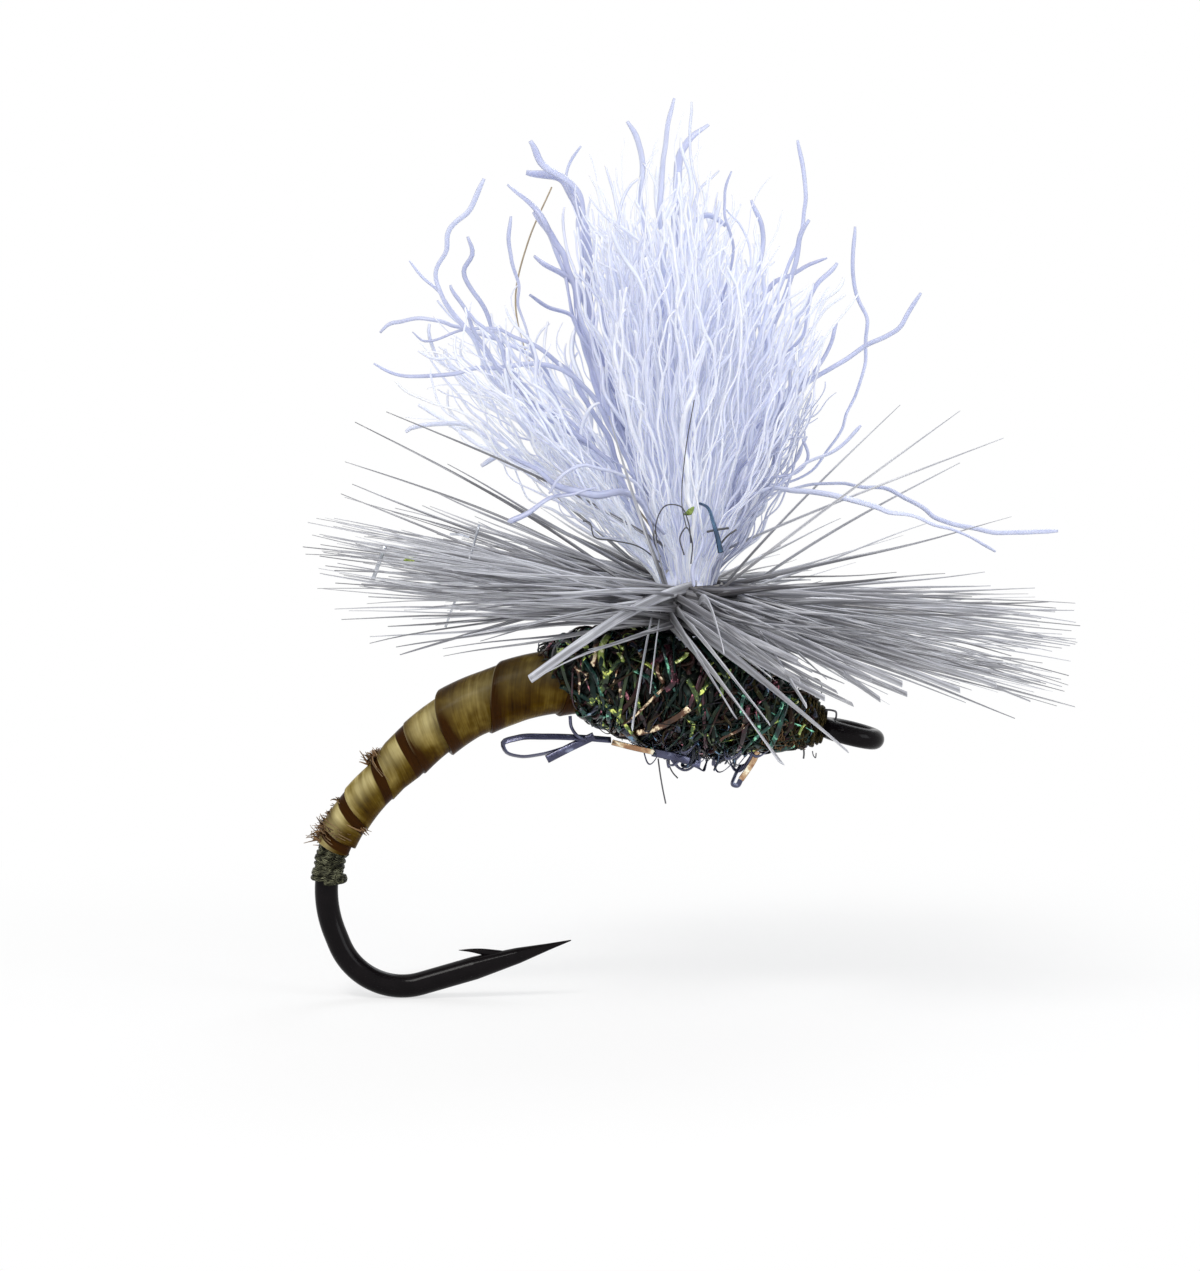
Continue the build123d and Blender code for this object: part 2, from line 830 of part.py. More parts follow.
def hackle_flash_bits():
    """Bits of flash that lie on the rear barbs."""
    bits = []
    for points in (
        [(-9.92, -0.9, 3.3), (-9.78, -0.9, 3.62), (-9.66, -0.9, 3.92)],
        [(-9.25, -1.4, 3.68), (-9.15, -1.4, 3.74), (-9.05, -1.4, 3.78)],
        [(-7.75, 0.6, 4.4), (-8.1, 0.6, 3.3), (-8.42, 0.6, 2.3)],
    ):
        spots = [Vector(*point) for point in points]
        bits.append(ribbon(spots, flash_width * 0.6, flash_thickness, Vector(1, 0, 0)))
    return bits


# ---- head ----


def head_thread_wraps():
    """Thread layers of the head, each shorter and wider than the one under it."""
    layers = []
    rear = thorax_profile[0][0] - head_thread_diameter
    for i in range(head_layers):
        radius = base_radius + lay + head_thread_diameter / 2 + i * (head_thread_diameter + lay)
        start = head_start + 0.07 * i
        pitch = (head_thread_diameter + lay) * (1 if i % 2 else -1)
        spots = winding(hook_plane, start, rear, lambda place, reach=radius: reach, pitch)
        layers.append(even_strand(spots, head_thread_diameter, hair_shape))
    return layers


head_radius = base_radius + head_layers * (head_thread_diameter + lay) + lay


def head_thread_loops():
    head = hook_spot(head_start + head_length / 2)
    crown = head.Z + head_radius
    neck = hook_spot(head_start)
    loops = [
        thread_loop((head.X - 0.02, -0.12, crown + 0.02), 0.34, 0.42, 0.05),
        thread_loop((head.X + 0.03, 0.12, crown + 0.02), 0.26, 0.3, 0.08),
        thread_loop((neck.X + 0.24, -0.14, neck.Z + wire_radius + 0.02), 0.2, 0.14, 0.04),
    ]
    return loops


def head_thread_tags():
    head = hook_spot(head_start + head_length * 0.7)
    foot = head.Z - head_radius
    tags = []
    for offset in (-0.1, 0.1):
        root = Vector(head.X + offset, -0.1, foot - 0.04)
        spots = [root, root + Vector(0.02, 0, -0.1), root + Vector(0.01, 0, -0.2)]
        tags.append(even_strand(spots, loop_thread_diameter))
    return tags


# ---- the whole fly ----


def all_nodes():
    nodes = {
        "hook": hook(),
        "shank_thread_base": shank_thread_base(),
        "rear_thread_collar": rear_thread_collar(),
        "wing_yarn_butt": wing_yarn_butt(),
        "butt_binding_thread": butt_binding_thread(),
        "wing_tie_in_wraps": wing_tie_in_wraps(),
        "abdomen_biot": abdomen_biot(),
        "biot_butt_tag": biot_butt_tag(),
        "biot_torn_flaps": biot_torn_flaps(),
        "wing_post": wing_post(),
        "post_thread_wraps": post_thread_wraps(),
        "hackle_quill": hackle_quill(),
        "hackle_quill_stub": hackle_quill_stub(),
        "hackle_tie_off_wraps": hackle_tie_off_wraps(),
        "wing_stray_fibres": wing_stray_fibres(),
        "tan_guard_fibre": tan_guard_fibre(),
        "dark_hair": dark_hair(),
        "post_flash": post_flash(),
        "post_thread_loops": post_thread_loops(),
        "thorax_dubbing_front": thorax_dubbing_front(),
        "thorax_dubbing_rear": thorax_dubbing_rear(),
        "thorax_flash_ribbons": thorax_flash_ribbons(),
        "flash_loop": flash_loop(),
        "hanging_tinsel": hanging_tinsel(),
        "trailing_threads": trailing_threads(),
        "hackle_flash_bits": hackle_flash_bits(),
        "head_thread_wraps": head_thread_wraps(),
        "head_thread_loops": head_thread_loops(),
        "head_thread_tags": head_thread_tags(),
    }
    for lock in wing_locks:
        nodes[f"wing_fibres_{lock}"] = wing_fibres(lock)
    for turn_number in range(hackle_turns):
        nodes[f"hackle_barbs_turn_{turn_number + 1}"] = hackle_barbs(turn_number)
    return nodes


os.makedirs("parts", exist_ok=True)
for name, solids in all_nodes().items():
    shape = solids[0] if len(solids) == 1 else Compound(children=solids)
    export_step(shape, f"parts/{name}.step")
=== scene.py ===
import math
from math import pi

import bpy
import numpy as np
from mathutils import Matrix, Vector


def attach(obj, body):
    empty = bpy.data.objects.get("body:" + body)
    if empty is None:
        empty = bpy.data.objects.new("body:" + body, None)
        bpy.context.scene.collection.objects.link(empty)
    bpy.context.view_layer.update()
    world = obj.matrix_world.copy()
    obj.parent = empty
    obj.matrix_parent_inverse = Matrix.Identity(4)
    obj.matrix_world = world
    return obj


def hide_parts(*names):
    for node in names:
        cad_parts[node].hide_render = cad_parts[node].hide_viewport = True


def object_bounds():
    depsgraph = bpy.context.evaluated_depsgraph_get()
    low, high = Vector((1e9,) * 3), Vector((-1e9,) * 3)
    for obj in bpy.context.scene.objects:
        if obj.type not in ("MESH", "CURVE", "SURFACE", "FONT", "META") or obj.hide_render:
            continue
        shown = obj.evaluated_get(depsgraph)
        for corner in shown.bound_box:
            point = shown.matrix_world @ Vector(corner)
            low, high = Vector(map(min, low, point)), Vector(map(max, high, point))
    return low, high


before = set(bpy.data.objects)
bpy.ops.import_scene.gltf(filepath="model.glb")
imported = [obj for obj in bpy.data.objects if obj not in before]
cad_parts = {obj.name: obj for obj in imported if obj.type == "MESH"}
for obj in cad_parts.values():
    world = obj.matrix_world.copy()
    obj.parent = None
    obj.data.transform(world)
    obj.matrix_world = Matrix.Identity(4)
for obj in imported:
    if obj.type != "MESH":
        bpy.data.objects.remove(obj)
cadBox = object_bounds()
mm = 0.001  # lengths below are millimetres, and become metres where a mesh is made


# A value in a material: arithmetic on it adds Math nodes
class Link:
    def __init__(self, finish, socket):
        self.finish = finish
        self.socket = socket

    def maths(self, operation, other=0.0, swapped=False):
        first, second = (other, self) if swapped else (self, other)
        return self.finish.node("Math", {"operation": operation}, {0: first, 1: second})


# each operator works from both sides, so that 1 - mask does too
for sign, operation in (("add", "ADD"), ("sub", "SUBTRACT"), ("mul", "MULTIPLY"), ("pow", "POWER")):
    setattr(Link, "__%s__" % sign, lambda self, other, o=operation: self.maths(o, other))
    setattr(Link, "__r%s__" % sign, lambda self, other, o=operation: self.maths(o, other, True))

# what surface() calls the shader's sockets
shaderSockets = {
    "metallic": "Metallic", "coat": "Coat Weight", "coatRoughness": "Coat Roughness", "ior": "IOR",
    "specular": "Specular IOR Level", "glow": "Emission Strength", "subsurface": "Subsurface Weight",
    "subsurfaceScale": "Subsurface Scale", "subsurfaceRadius": "Subsurface Radius",
}


class Finish:
    def __init__(self, name, owners="materials"):
        self.owner = getattr(bpy.data, owners).new(name)
        self.owner.use_nodes = True
        self.tree = self.owner.node_tree
        self.tree.nodes.clear()

    # one node: its settings are set first, then its sockets get values or links
    def node(self, kind, settings=None, sockets=None, output=0):
        node = self.tree.nodes.new("ShaderNode" + kind)
        for name, value in (settings or {}).items():
            if name == "stops":
                self.fillRamp(node.color_ramp, value)
            else:
                setattr(node, name, value)
        for name, value in (sockets or {}).items():
            if isinstance(value, Link):
                self.tree.links.new(value.socket, node.inputs[name])
            else:
                node.inputs[name].default_value = value
        return Link(self, node.outputs[output]) if node.outputs else None

    def fillRamp(self, ramp, stops):
        while len(ramp.elements) < len(stops):
            ramp.elements.new(0.5)
        for element, (place, colour) in zip(ramp.elements, stops):
            element.position = place
            element.color = (*colour, 1)

    def ramp(self, factor, stops):
        return self.node("ValToRGB", {"stops": stops}, {"Fac": factor})

    def mix(self, factor, first, second):
        first, second = (c if isinstance(c, Link) else (*c, 1) for c in (first, second))
        return self.node("Mix", {"data_type": "RGBA"}, {0: factor, 6: first, 7: second}, 2)

    # where a value lies between two limits, from 0 to 1 unless other ends are given
    def between(self, value, low, high, first=0.0, last=1.0, smooth=False):
        settings = {"interpolation_type": "SMOOTHSTEP" if smooth else "LINEAR"}
        return self.node("MapRange", settings, {"Value": value, 1: low, 2: high, 3: first, 4: last})

    def place(self):
        return self.node("TexCoord", output="Object")

    def noiseAt(self, spot, detail, roughness):
        sockets = {"Vector": spot, "Scale": 1.0, "Detail": detail, "Roughness": roughness}
        return self.node("TexNoise", None, sockets)

    # noise in space, whose patches are 1/perMm long
    def noise(self, perMm, detail=3.0):
        spot = self.node("VectorMath", {"operation": "MULTIPLY"}, {0: self.place(), 1: (perMm / mm,) * 3})
        return self.noiseAt(spot, detail, 0.55)

    # noise over three measures of the surface
    def noiseOver(self, x, y, z, detail=2.0, roughness=0.5):
        return self.noiseAt(self.node("CombineXYZ", None, {0: x, 1: y, 2: z}), detail, roughness)

    # how far round a strand and how far along it the surface is, both from 0 to 1
    def strip(self, part):
        return self.node("SeparateXYZ", None, {0: self.node("UVMap", {"uv_map": "UVMap"})}, part)

    def across(self):
        return self.strip(0)

    def along(self):
        return self.strip(1)

    # a number that the mesh carries at each point, such as the tint of each strand
    def mark(self, name="tint"):
        return self.node("Attribute", {"attribute_name": name}, output="Fac")

    def surface(self, colour, roughness, bump=None, bumpDepth=0.01, **constants):
        sockets = {"Base Color": colour, "Roughness": roughness}
        if bump is not None:
            bumped = {"Strength": 1.0, "Distance": bumpDepth * mm, "Height": bump}
            sockets["Normal"] = self.node("Bump", None, bumped)
        if "glow" in constants:
            sockets["Emission Color"] = colour
        for name, value in constants.items():
            sockets[shaderSockets[name]] = value
        return self.show(self.node("BsdfPrincipled", None, sockets))

    def show(self, shader, output="OutputMaterial"):
        self.node(output, None, {"Surface": shader})
        return self.owner


# the slot of each finish
slots = {
    "blackNickel": "black_nickel_wire", "oliveThread": "olive_thread", "darkThread": "dark_olive_thread",
    "headThread": "head_thread", "looseThread": "dark_fibre", "biotSkin": "olive_gold_biot",
    "biotFuzz": "brown_biot_edge", "peacockDubbing": "peacock_dubbing", "whiteYarn": "white_yarn",
    "shadedYarn": "white_yarn", "dunBarb": "dun_barb", "greyQuill": "grey_quill",
    "tanGuardHair": "tan_fibre",
    "greenFlash": "green_flash", "tealFlash": "green_flash", "glintFlash": "green_flash",
    "silverFlash": "green_flash", "copperFlash": "copper_flash", "magentaFlash": "copper_flash",
    "creamFlash": "copper_flash", "blueFlash": "blue_flash", "slateFlash": "blue_flash",
    "skyFlash": "blue_flash",
}


# Random numbers, one for each of the strands that are being laid
class Chance:
    def __init__(self, seed, count=0):
        self.source = np.random.default_rng(seed)
        self.count = count

    def even(self, low=0.0, high=1.0):
        return self.source.uniform(low, high, self.count)

    def about(self, middle, spread):
        return self.source.normal(middle, spread, self.count)


# Meshes
def unit(vectors):
    return vectors / np.maximum(np.linalg.norm(vectors, axis=-1, keepdims=True), 1e-12)


def addObject(name, data):
    added = bpy.data.objects.new(name, data)
    bpy.context.scene.collection.objects.link(added)
    return added


# replaced names the CAD nodes that the piece stands for, with a blank between two
def meshPiece(name, replaced, spots, faces, around, finish, slot, marks):
    mesh = bpy.data.meshes.new(name)
    mesh.from_pydata((spots.reshape(-1, 3) * mm).tolist(), [], faces)
    mesh.uv_layers.new(name="UVMap").data.foreach_set("uv", np.asarray(around, np.float32).ravel())
    for mark, values in marks.items():
        attribute = mesh.attributes.new(mark, "FLOAT", "POINT")
        attribute.data.foreach_set("value", np.asarray(values, np.float32).ravel())
    mesh.polygons.foreach_set("use_smooth", [True] * len(mesh.polygons))
    mesh.materials.append(finish)
    piece = addObject(name, mesh)
    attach(piece, "root")
    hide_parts(*replaced.split())


# A CAD solid that stays as it is, with a better finish
def refinish(finish, *nodes):
    for node in nodes:
        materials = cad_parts[node].data.materials
        materials.clear()
        materials.append(finish)


# Quads over a grid of rings, strand by strand, and their places round and along
def ringFaces(count, stops, sides):
    strand, stop, side = np.indices((count, stops - 1, sides))
    first = (strand * stops + stop) * sides
    following = (side + 1) % sides
    quads = np.stack([first + side, first + following, first + sides + following, first + sides + side], -1)
    u = np.stack([side, side + 1, side + 1, side], -1) / sides
    v = np.stack([stop, stop, stop + 1, stop + 1], -1) / (stops - 1)
    return quads.reshape(-1, 4), np.stack([u, v], -1).reshape(-1, 2)


# A strand along each path, round or flat, whose section turns by the twist in radians from root to tip
def strandPiece(name, replaced, paths, width, finish, thick=None, across=(0.3, -0.9, 0.2), sides=6,
                tint=0.0, twist=0.0, slot=None):
    paths = np.asarray(paths, float)
    paths = paths[None] if paths.ndim == 2 else paths
    count, stops = paths.shape[:2]
    width = np.broadcast_to(width, (count, stops))[..., None]
    thick = width if thick is None else np.broadcast_to(thick, (count, stops))[..., None]
    along = unit(np.gradient(paths, axis=1))
    side = np.empty_like(paths)
    last = np.broadcast_to(across, (count, 3))
    for i in range(stops):
        last = unit(last - along[:, i] * np.sum(last * along[:, i], axis=1, keepdims=True))
        side[:, i] = last
    up = np.cross(along, side)
    turn = 2 * pi * np.arange(sides) / sides
    roll = (np.reshape(twist, (-1, 1)) * np.linspace(0, 1, stops))[..., None]
    wide, deep = np.cos(turn) * width / 2, np.sin(turn) * thick / 2
    wide, deep = wide * np.cos(roll) - deep * np.sin(roll), wide * np.sin(roll) + deep * np.cos(roll)
    spots = paths[:, :, None] + side[:, :, None] * wide[..., None] + up[:, :, None] * deep[..., None]
    quads, around = ringFaces(count, stops, sides)
    starts = np.arange(count)[:, None] * stops * sides
    corners = np.arange(sides)
    caps = np.concatenate([starts + corners[::-1], starts + (stops - 1) * sides + corners])
    capAround = np.zeros((len(caps) * sides, 2))
    capAround[count * sides:, 1] = 1
    marks = {"tint": np.repeat(np.broadcast_to(tint, count), stops * sides)}
    around = np.concatenate([around, capAround])
    faces = quads.tolist() + caps.tolist()
    meshPiece(name, replaced, spots, faces, around, finish, slot or slots[finish.name], marks)


# Skin over a row of rings
def loftPiece(name, replaced, rings, finish, capped=True, marks=None):
    stops, sides = rings.shape[:2]
    quads, around = ringFaces(1, stops, sides)
    caps = []
    if capped:
        caps = [list(range(sides))[::-1], list(range((stops - 1) * sides, stops * sides))]
        around = np.concatenate([around, np.zeros((2 * sides, 2))])
    meshPiece(name, replaced, rings, quads.tolist() + caps, around, finish, slots[finish.name], marks or {})


# Smooth course through given points, with even stops
def course(points, stops):
    points = np.asarray(points, float)
    reached = np.concatenate([[0], np.cumsum(np.linalg.norm(np.diff(points, axis=0), axis=1))])
    slope = np.gradient(points, reached, axis=0)
    spots = np.linspace(0, reached[-1], stops)
    i = np.clip(np.searchsorted(reached, spots, "right") - 1, 0, len(points) - 2)
    step = (reached[i + 1] - reached[i])[:, None]
    t = (spots[:, None] - reached[i][:, None]) / step
    start, end = points[i], points[i + 1]
    bendIn, bendOut = slope[i] * step, slope[i + 1] * step
    return (
        start * (1 + 2 * t) * (1 - t) ** 2 + bendIn * t * (1 - t) ** 2
        + end * t * t * (3 - 2 * t) + bendOut * t * t * (t - 1)
    )


def aroundOnce(count):
    return np.linspace(0, 2 * pi, count, endpoint=False)


# Places on the hook
hook = {
    "wire": 0.49,
    "neck": 0.36,  # where the shank's wire starts, from the middle of the eye
    "eyeHole": 0.30,
    "eyeWire": 0.42,
    "droop": 13.5,  # degrees by which the shank falls towards the eye
    # straight length or bend radius of each stretch, and its turn in degrees
    "course": [(4.33, 0), (5.0, 31.9), (0.42, 0), (4.5, 26.6), (1.18, 0), (4.0, 18.4), (2.45, 48.3),
               (0.25, 0), (1.42, 84.5), (3.27, 0)],
    "taper": 2.1,
    "barbFromPoint": 1.62,
    # how far back from its root each part of the barb lies, and how far out of the wire
    "barbBack": (0.22, 0.05, -0.18, -0.42, -0.70),
    "barbRise": (-0.12, -0.05, 0.04, 0.125, 0.21),
}


# The wire's middle in small steps: distance from the eye, x, z and heading
def traceWire():
    finest = 0.02
    rows = []
    x = z = reached = 0.0
    heading = math.radians(-hook["droop"])
    for size, turn in hook["course"]:
        length = size * math.radians(turn) if turn else size
        steps = round(length / finest)
        step = length / steps
        bend = math.radians(turn) / steps
        for _ in range(steps):
            rows.append((reached, x, z, heading))
            heading += bend / 2
            x -= step * math.cos(heading)
            z -= step * math.sin(heading)
            heading += bend / 2
            reached += step
    rows.append((reached, x, z, heading))
    return np.array(rows).T


wireReached, wireX, wireZ, wireHeading = traceWire()
wireLength = wireReached[-1]


def matched(*values):
    return np.broadcast_arrays(*(np.asarray(value, float) for value in values))


# Spots round the wire: the angle turns from the near side over the top
def onWire(distance, radius=0.0, angle=0.0):
    distance, radius, angle = matched(distance, radius, angle)
    x, z, heading = (np.interp(distance, wireReached, values) for values in (wireX, wireZ, wireHeading))
    out = radius * np.sin(angle)
    return np.stack([x - out * np.sin(heading), -radius * np.cos(angle), z + out * np.cos(heading)], -1)


# The post that the wing stands on
post = {
    "fromEye": 3.50,
    "foot": 0.31,  # of the post above the middle of the wire
    # height above the foot, and radius
    "profile": [(0, 0.58), (1.35, 0.48), (2.60, 0.70)],
    "wrapStart": 1.05,
    # turns of the hackle, and the height that each takes up
    "turns": 5,
    "pitch": 0.16,
    "threadWidth": 0.062,
    "parts": (2.0, 2.5),  # heights between which the yarn of the post parts into the wing's fibres
}
postSpot = onWire(post["fromEye"])
postSpot[2] += post["foot"]
postTop = postSpot + [0, 0, post["profile"][-1][0]]


def postRadius(height):
    return np.interp(height, *zip(*post["profile"]))


def onPost(height, radius, angle):
    height, radius, angle = matched(height, radius, angle)
    return postSpot + np.stack([radius * np.cos(angle), radius * np.sin(angle), height], -1)


# Course of a thread wound from one place to another; spotsAt is onWire or onPost
def winding(spotsAt, start, end, radiusAt, pitch, phase=0.0, wobble=0.0, seed=1):
    stopsPerTurn = 26
    turns = abs(end - start) / abs(pitch)
    share = np.linspace(0, 1, max(8, round(turns * stopsPerTurn)))
    places = start + (end - start) * share
    angle = phase + math.copysign(2 * pi * turns, pitch) * share
    chance = np.random.default_rng(seed)
    beats = chance.uniform(0.6, 2.3, 4)
    shifts = chance.uniform(0, 2 * pi, 4)
    sway = wobble * sum(np.sin(angle * b + s) for b, s in zip(beats, shifts)) / 2
    places = places + sway
    return spotsAt(places, radiusAt(places) + np.abs(sway) * 0.3, angle)


print("hook")


def blackNickel():
    f = Finish("blackNickel")
    patches, grain = f.noise(3.0, 4), f.noise(22.0, 2)
    colour = f.mix(patches, (0.0020, 0.0016, 0.0020), (0.009, 0.007, 0.008))
    return f.surface(colour, 0.07 + patches * 0.10 + grain * 0.06, grain * 0.5 + patches * 0.5, 0.003,
                     specular=0.05, coat=0.05, coatRoughness=0.06)


nickel = blackNickel()


def makeHook():
    half = hook["wire"] / 2
    taper = wireLength - hook["taper"]
    places = np.concatenate([np.linspace(hook["neck"], 1.0, 10), np.linspace(1.05, taper, 220),
                             np.linspace(taper + 0.03, wireLength, 46)])
    # the point is ground to a long taper that is a little hollow
    cone = np.interp(wireLength - places, [0, 0.5, 1.15, hook["taper"]],
                     [0.012, 0.30 * half, 0.68 * half, half])
    radius = np.minimum(cone, np.interp(places, [hook["neck"], 0.9], [0.20, half]))
    loftPiece("hookWire", "hook", onWire(places[:, None], radius[:, None], aroundOnce(40)), nickel)
    # the eye is a ring that lies in line with the shank
    droop = math.radians(hook["droop"])
    forward = np.array([math.cos(droop), 0, -math.sin(droop)])
    upright = np.array([math.sin(droop), 0, math.cos(droop)])
    thick = hook["eyeWire"] / 2
    turn = aroundOnce(72)[:, None]
    tube = aroundOnce(32)[:, None]
    flat = forward * np.cos(turn) + np.array([0, -1, 0]) * np.sin(turn)
    ring = flat[:, None] * (hook["eyeHole"] + thick + thick * np.cos(tube)) + upright * thick * np.sin(tube)
    ring = np.concatenate([ring, ring[:1]])
    loftPiece("hookEye", "hook", ring[:, ::-1], nickel, capped=False)
    # the barb is a sliver raised out of the wire, with its notch in front
    back = wireLength - hook["barbFromPoint"] + np.array(hook["barbBack"])
    spots = onWire(back, np.interp(back, places, radius) + hook["barbRise"], -pi / 2)
    share = np.linspace(0, 1, 16)
    strandPiece("hookBarb", "hook", course(spots, 16), 0.2 - 0.18 * share, nickel,
                thick=np.interp(share, [0, 0.5, 1], [0.2, 0.14, 0.012]), across=(0, 1, 0), sides=12)


makeHook()

print("threads on the shank")

threads = {
    "collarStart": 12.26,
    "collarEnd": 13.02,
    # distance from the eye and radius of the head's outer layer
    "headShape": [(0.55, 0.31), (0.70, 0.42), (0.92, 0.55), (1.22, 0.63)],
    "headWidth": 0.085,
    "headThick": 0.065,
    # windings of the head: start, end, how far under the outer layer, pitch, phase, wobble and seed
    "headLaid": [
        (0.60, 1.22, 0.055, 0.075, 0.3, 0.006, 1), (1.20, 0.62, 0.02, -0.13, 1.1, 0.02, 3),
        (0.66, 1.05, 0.0, 0.19, 2.0, 0.03, 5), (0.57, 0.68, 0.01, 0.06, 4.0, 0.004, 7),
    ],
}


# Tying thread: fine twisted filaments, slightly waxy
def threadFinish(name, dark, light, shine):
    f = Finish(name)
    filament = f.node("TexWave", {"wave_type": "BANDS", "bands_direction": "X", "wave_profile": "SIN"}, {
        "Vector": f.node("CombineXYZ", None, {0: f.across() * 3.0 + f.noise(4.0) * 2.0}),
        "Scale": 1.0, "Distortion": 1.2, "Detail": 2.0})
    lit = f.between(f.noise(7.0) * 0.7 + filament * 0.3, 0.49, 0.68)
    return f.surface(f.mix(lit * lit, dark, light), 0.42 - filament * 0.25, filament, 0.012, ior=1.08,
                     coat=shine, coatRoughness=0.2)


oliveThread = threadFinish("oliveThread", (0.0008, 0.0008, 0.0002), (0.260, 0.262, 0.160), 0.08)
darkThread = threadFinish("darkThread", (0.006, 0.006, 0.008), (0.075, 0.070, 0.080), 0.03)
headThread = threadFinish("headThread", (0.005, 0.004, 0.002), (0.140, 0.104, 0.036), 0.03)
acrossWound = (0.1, 0.2, 1)  # first direction across a thread that is wound


def makeShankThreads():
    refinish(oliveThread, "shank_thread_base", "butt_binding_thread", "wing_tie_in_wraps")
    start, end = threads["collarStart"], threads["collarEnd"]
    # name, where it starts and ends, radius, pitch, phase, wobble and width
    layers = [
        ("Under", start, end, 0.255, 0.072, 0.0, 0.006, 0.085),
        ("Cross", start + 0.03, end - 0.02, 0.275, -0.150, 1.0, 0.030, 0.100),
        ("Lap", start + 0.02, end - 0.06, 0.282, 0.200, 2.0, 0.035, 0.095),
        ("Over", end - 0.04, start + 0.06, 0.288, -0.310, 4.1, 0.040, 0.090),
        ("Knot", end - 0.17, end + 0.01, 0.300, 0.075, 3.9, 0.014, 0.105),
        ("Top", start - 0.02, start + 0.15, 0.285, 0.090, 0.3, 0.012, 0.095),
    ]
    for i, (name, first, last, radius, pitch, phase, wobble, width) in enumerate(layers):
        path = winding(onWire, first, last, lambda places, r=radius: r, pitch, phase, wobble, i + 2)
        strandPiece("collarThread" + name, "rear_thread_collar", path, width, oliveThread,
                    thick=width * 0.75, across=acrossWound, sides=10, tint=0.15 * i)
    # the finishing turns leave a small lump on the inside of the bend
    share = np.linspace(0, 1, 60)
    lump = onWire(end - 0.09 + 0.07 * np.sin(share * 15), 0.335 + 0.05 * np.sin(share * 9) ** 2,
                  -1.25 + 0.55 * np.sin(share * 21))
    strandPiece("collarLump", "rear_thread_collar", lump, 0.095, oliveThread, sides=8, tint=0.6)


makeShankThreads()

print("abdomen")

biot = {
    # rear edge of each turn, from the eye, at the near side of the hook
    "edges": [12.10, 11.45, 10.45, 9.63, 8.87, 7.70, 5.95, 5.20],
    # radius of the bound body under the biot
    "under": [(4.5, 0.60), (9.95, 0.40), (10.35, 0.33), (12.4, 0.31)],
    "tuckedFrom": 12.36,  # where the strip starts, under the collar
    "tucked": 1.2,  # turns that are tucked in there
    "thick": 0.05,
    "overlap": 0.30,
    "brownWidth": 0.24,  # of the biot's dark margin where it shows
    # what changes from turn to turn: turns from the collar, and the value there
    "proud": ([3.50, 3.72, 5, 6], [0, 0.085, 0.075, 0.07]),  # over the bulk of the yarn
    "bare": ([2.35, 3.35], [1, 0]),  # the dark margin lies bare
    "through": ([2.0, 3.0], [0, 1]),  # and shows through the next turn
    "marginShare": ([0, 1, 3], [0.9, 1.0, 0.8]),
    "throughWidth": ([2.6, 3.4, 6], [0.30, 0.46, 0.42]),
    "pale": ([0, 1.2, 2.6, 3.6, 4.3, 6], [0.60, 0.70, 0.50, 0.06, 0.0, 0.0]),
    "paleFront": ([3.6, 4.9, 6], [0.42, 0.14, 0.0]),
    "bloom": ([0, 3, 4, 6], [1.1, 0.9, 0.34, 0.24]),
}


def biotFinish():
    f = Finish("biotSkin")
    across, along = f.mark("across"), f.mark("wound")
    # the fine ribs run along the biot, so they wind round the body
    streaks = f.noiseOver(across * 30.0, along * 0.9, 0.0, 4.0, 0.6)
    fine = f.noiseOver(across * 70.0, along * 1.6, 3.0)
    broad = f.noiseOver(across * 7.0, along * 0.45, 9.0, 3.0)
    blotch = f.noise(1.3)
    golden = f.ramp(streaks * 0.20 + broad * 0.24 + blotch * 0.56, [
        (0.34, (0.010, 0.003, 0.0002)), (0.44, (0.044, 0.019, 0.0004)), (0.55, (0.085, 0.045, 0.0010)),
        (0.67, (0.190, 0.118, 0.006))])
    cream = f.ramp(streaks * 0.22 + broad * 0.28 + blotch * 0.50, [
        (0.34, (0.070, 0.038, 0.002)), (0.49, (0.185, 0.128, 0.012)), (0.66, (0.520, 0.430, 0.170))])
    body = f.mix(f.mark("pale") + (blotch - 0.5) * 0.9, golden, cream)
    # a painted highlight lies along the upper side, as a pale band on the biot's colour
    body = f.mix(f.mark("bloom") * broad, body, (0.66, 0.58, 0.30))
    dark = f.mix(broad * 0.5 + fine * 0.5, (0.004, 0.0010, 0.0001), (0.060, 0.020, 0.001))
    brown = f.mark("brown") + (streaks - 0.5) * 0.4 + (broad - 0.5) * 0.9
    colour = f.mix(f.between(brown, 0.22, 0.66, smooth=True), body, dark)
    # a painted highlight runs along the upper part of each turn's rear edge
    colour = f.mix(f.mark("ridge") * 0.5, colour, (0.52, 0.44, 0.24))
    return f.surface(colour, 0.20 + fine * 0.14, streaks * 0.4 + fine * 0.2, 0.006, ior=1.08, coat=0.05,
                     coatRoughness=0.16)


biotSkin = biotFinish()


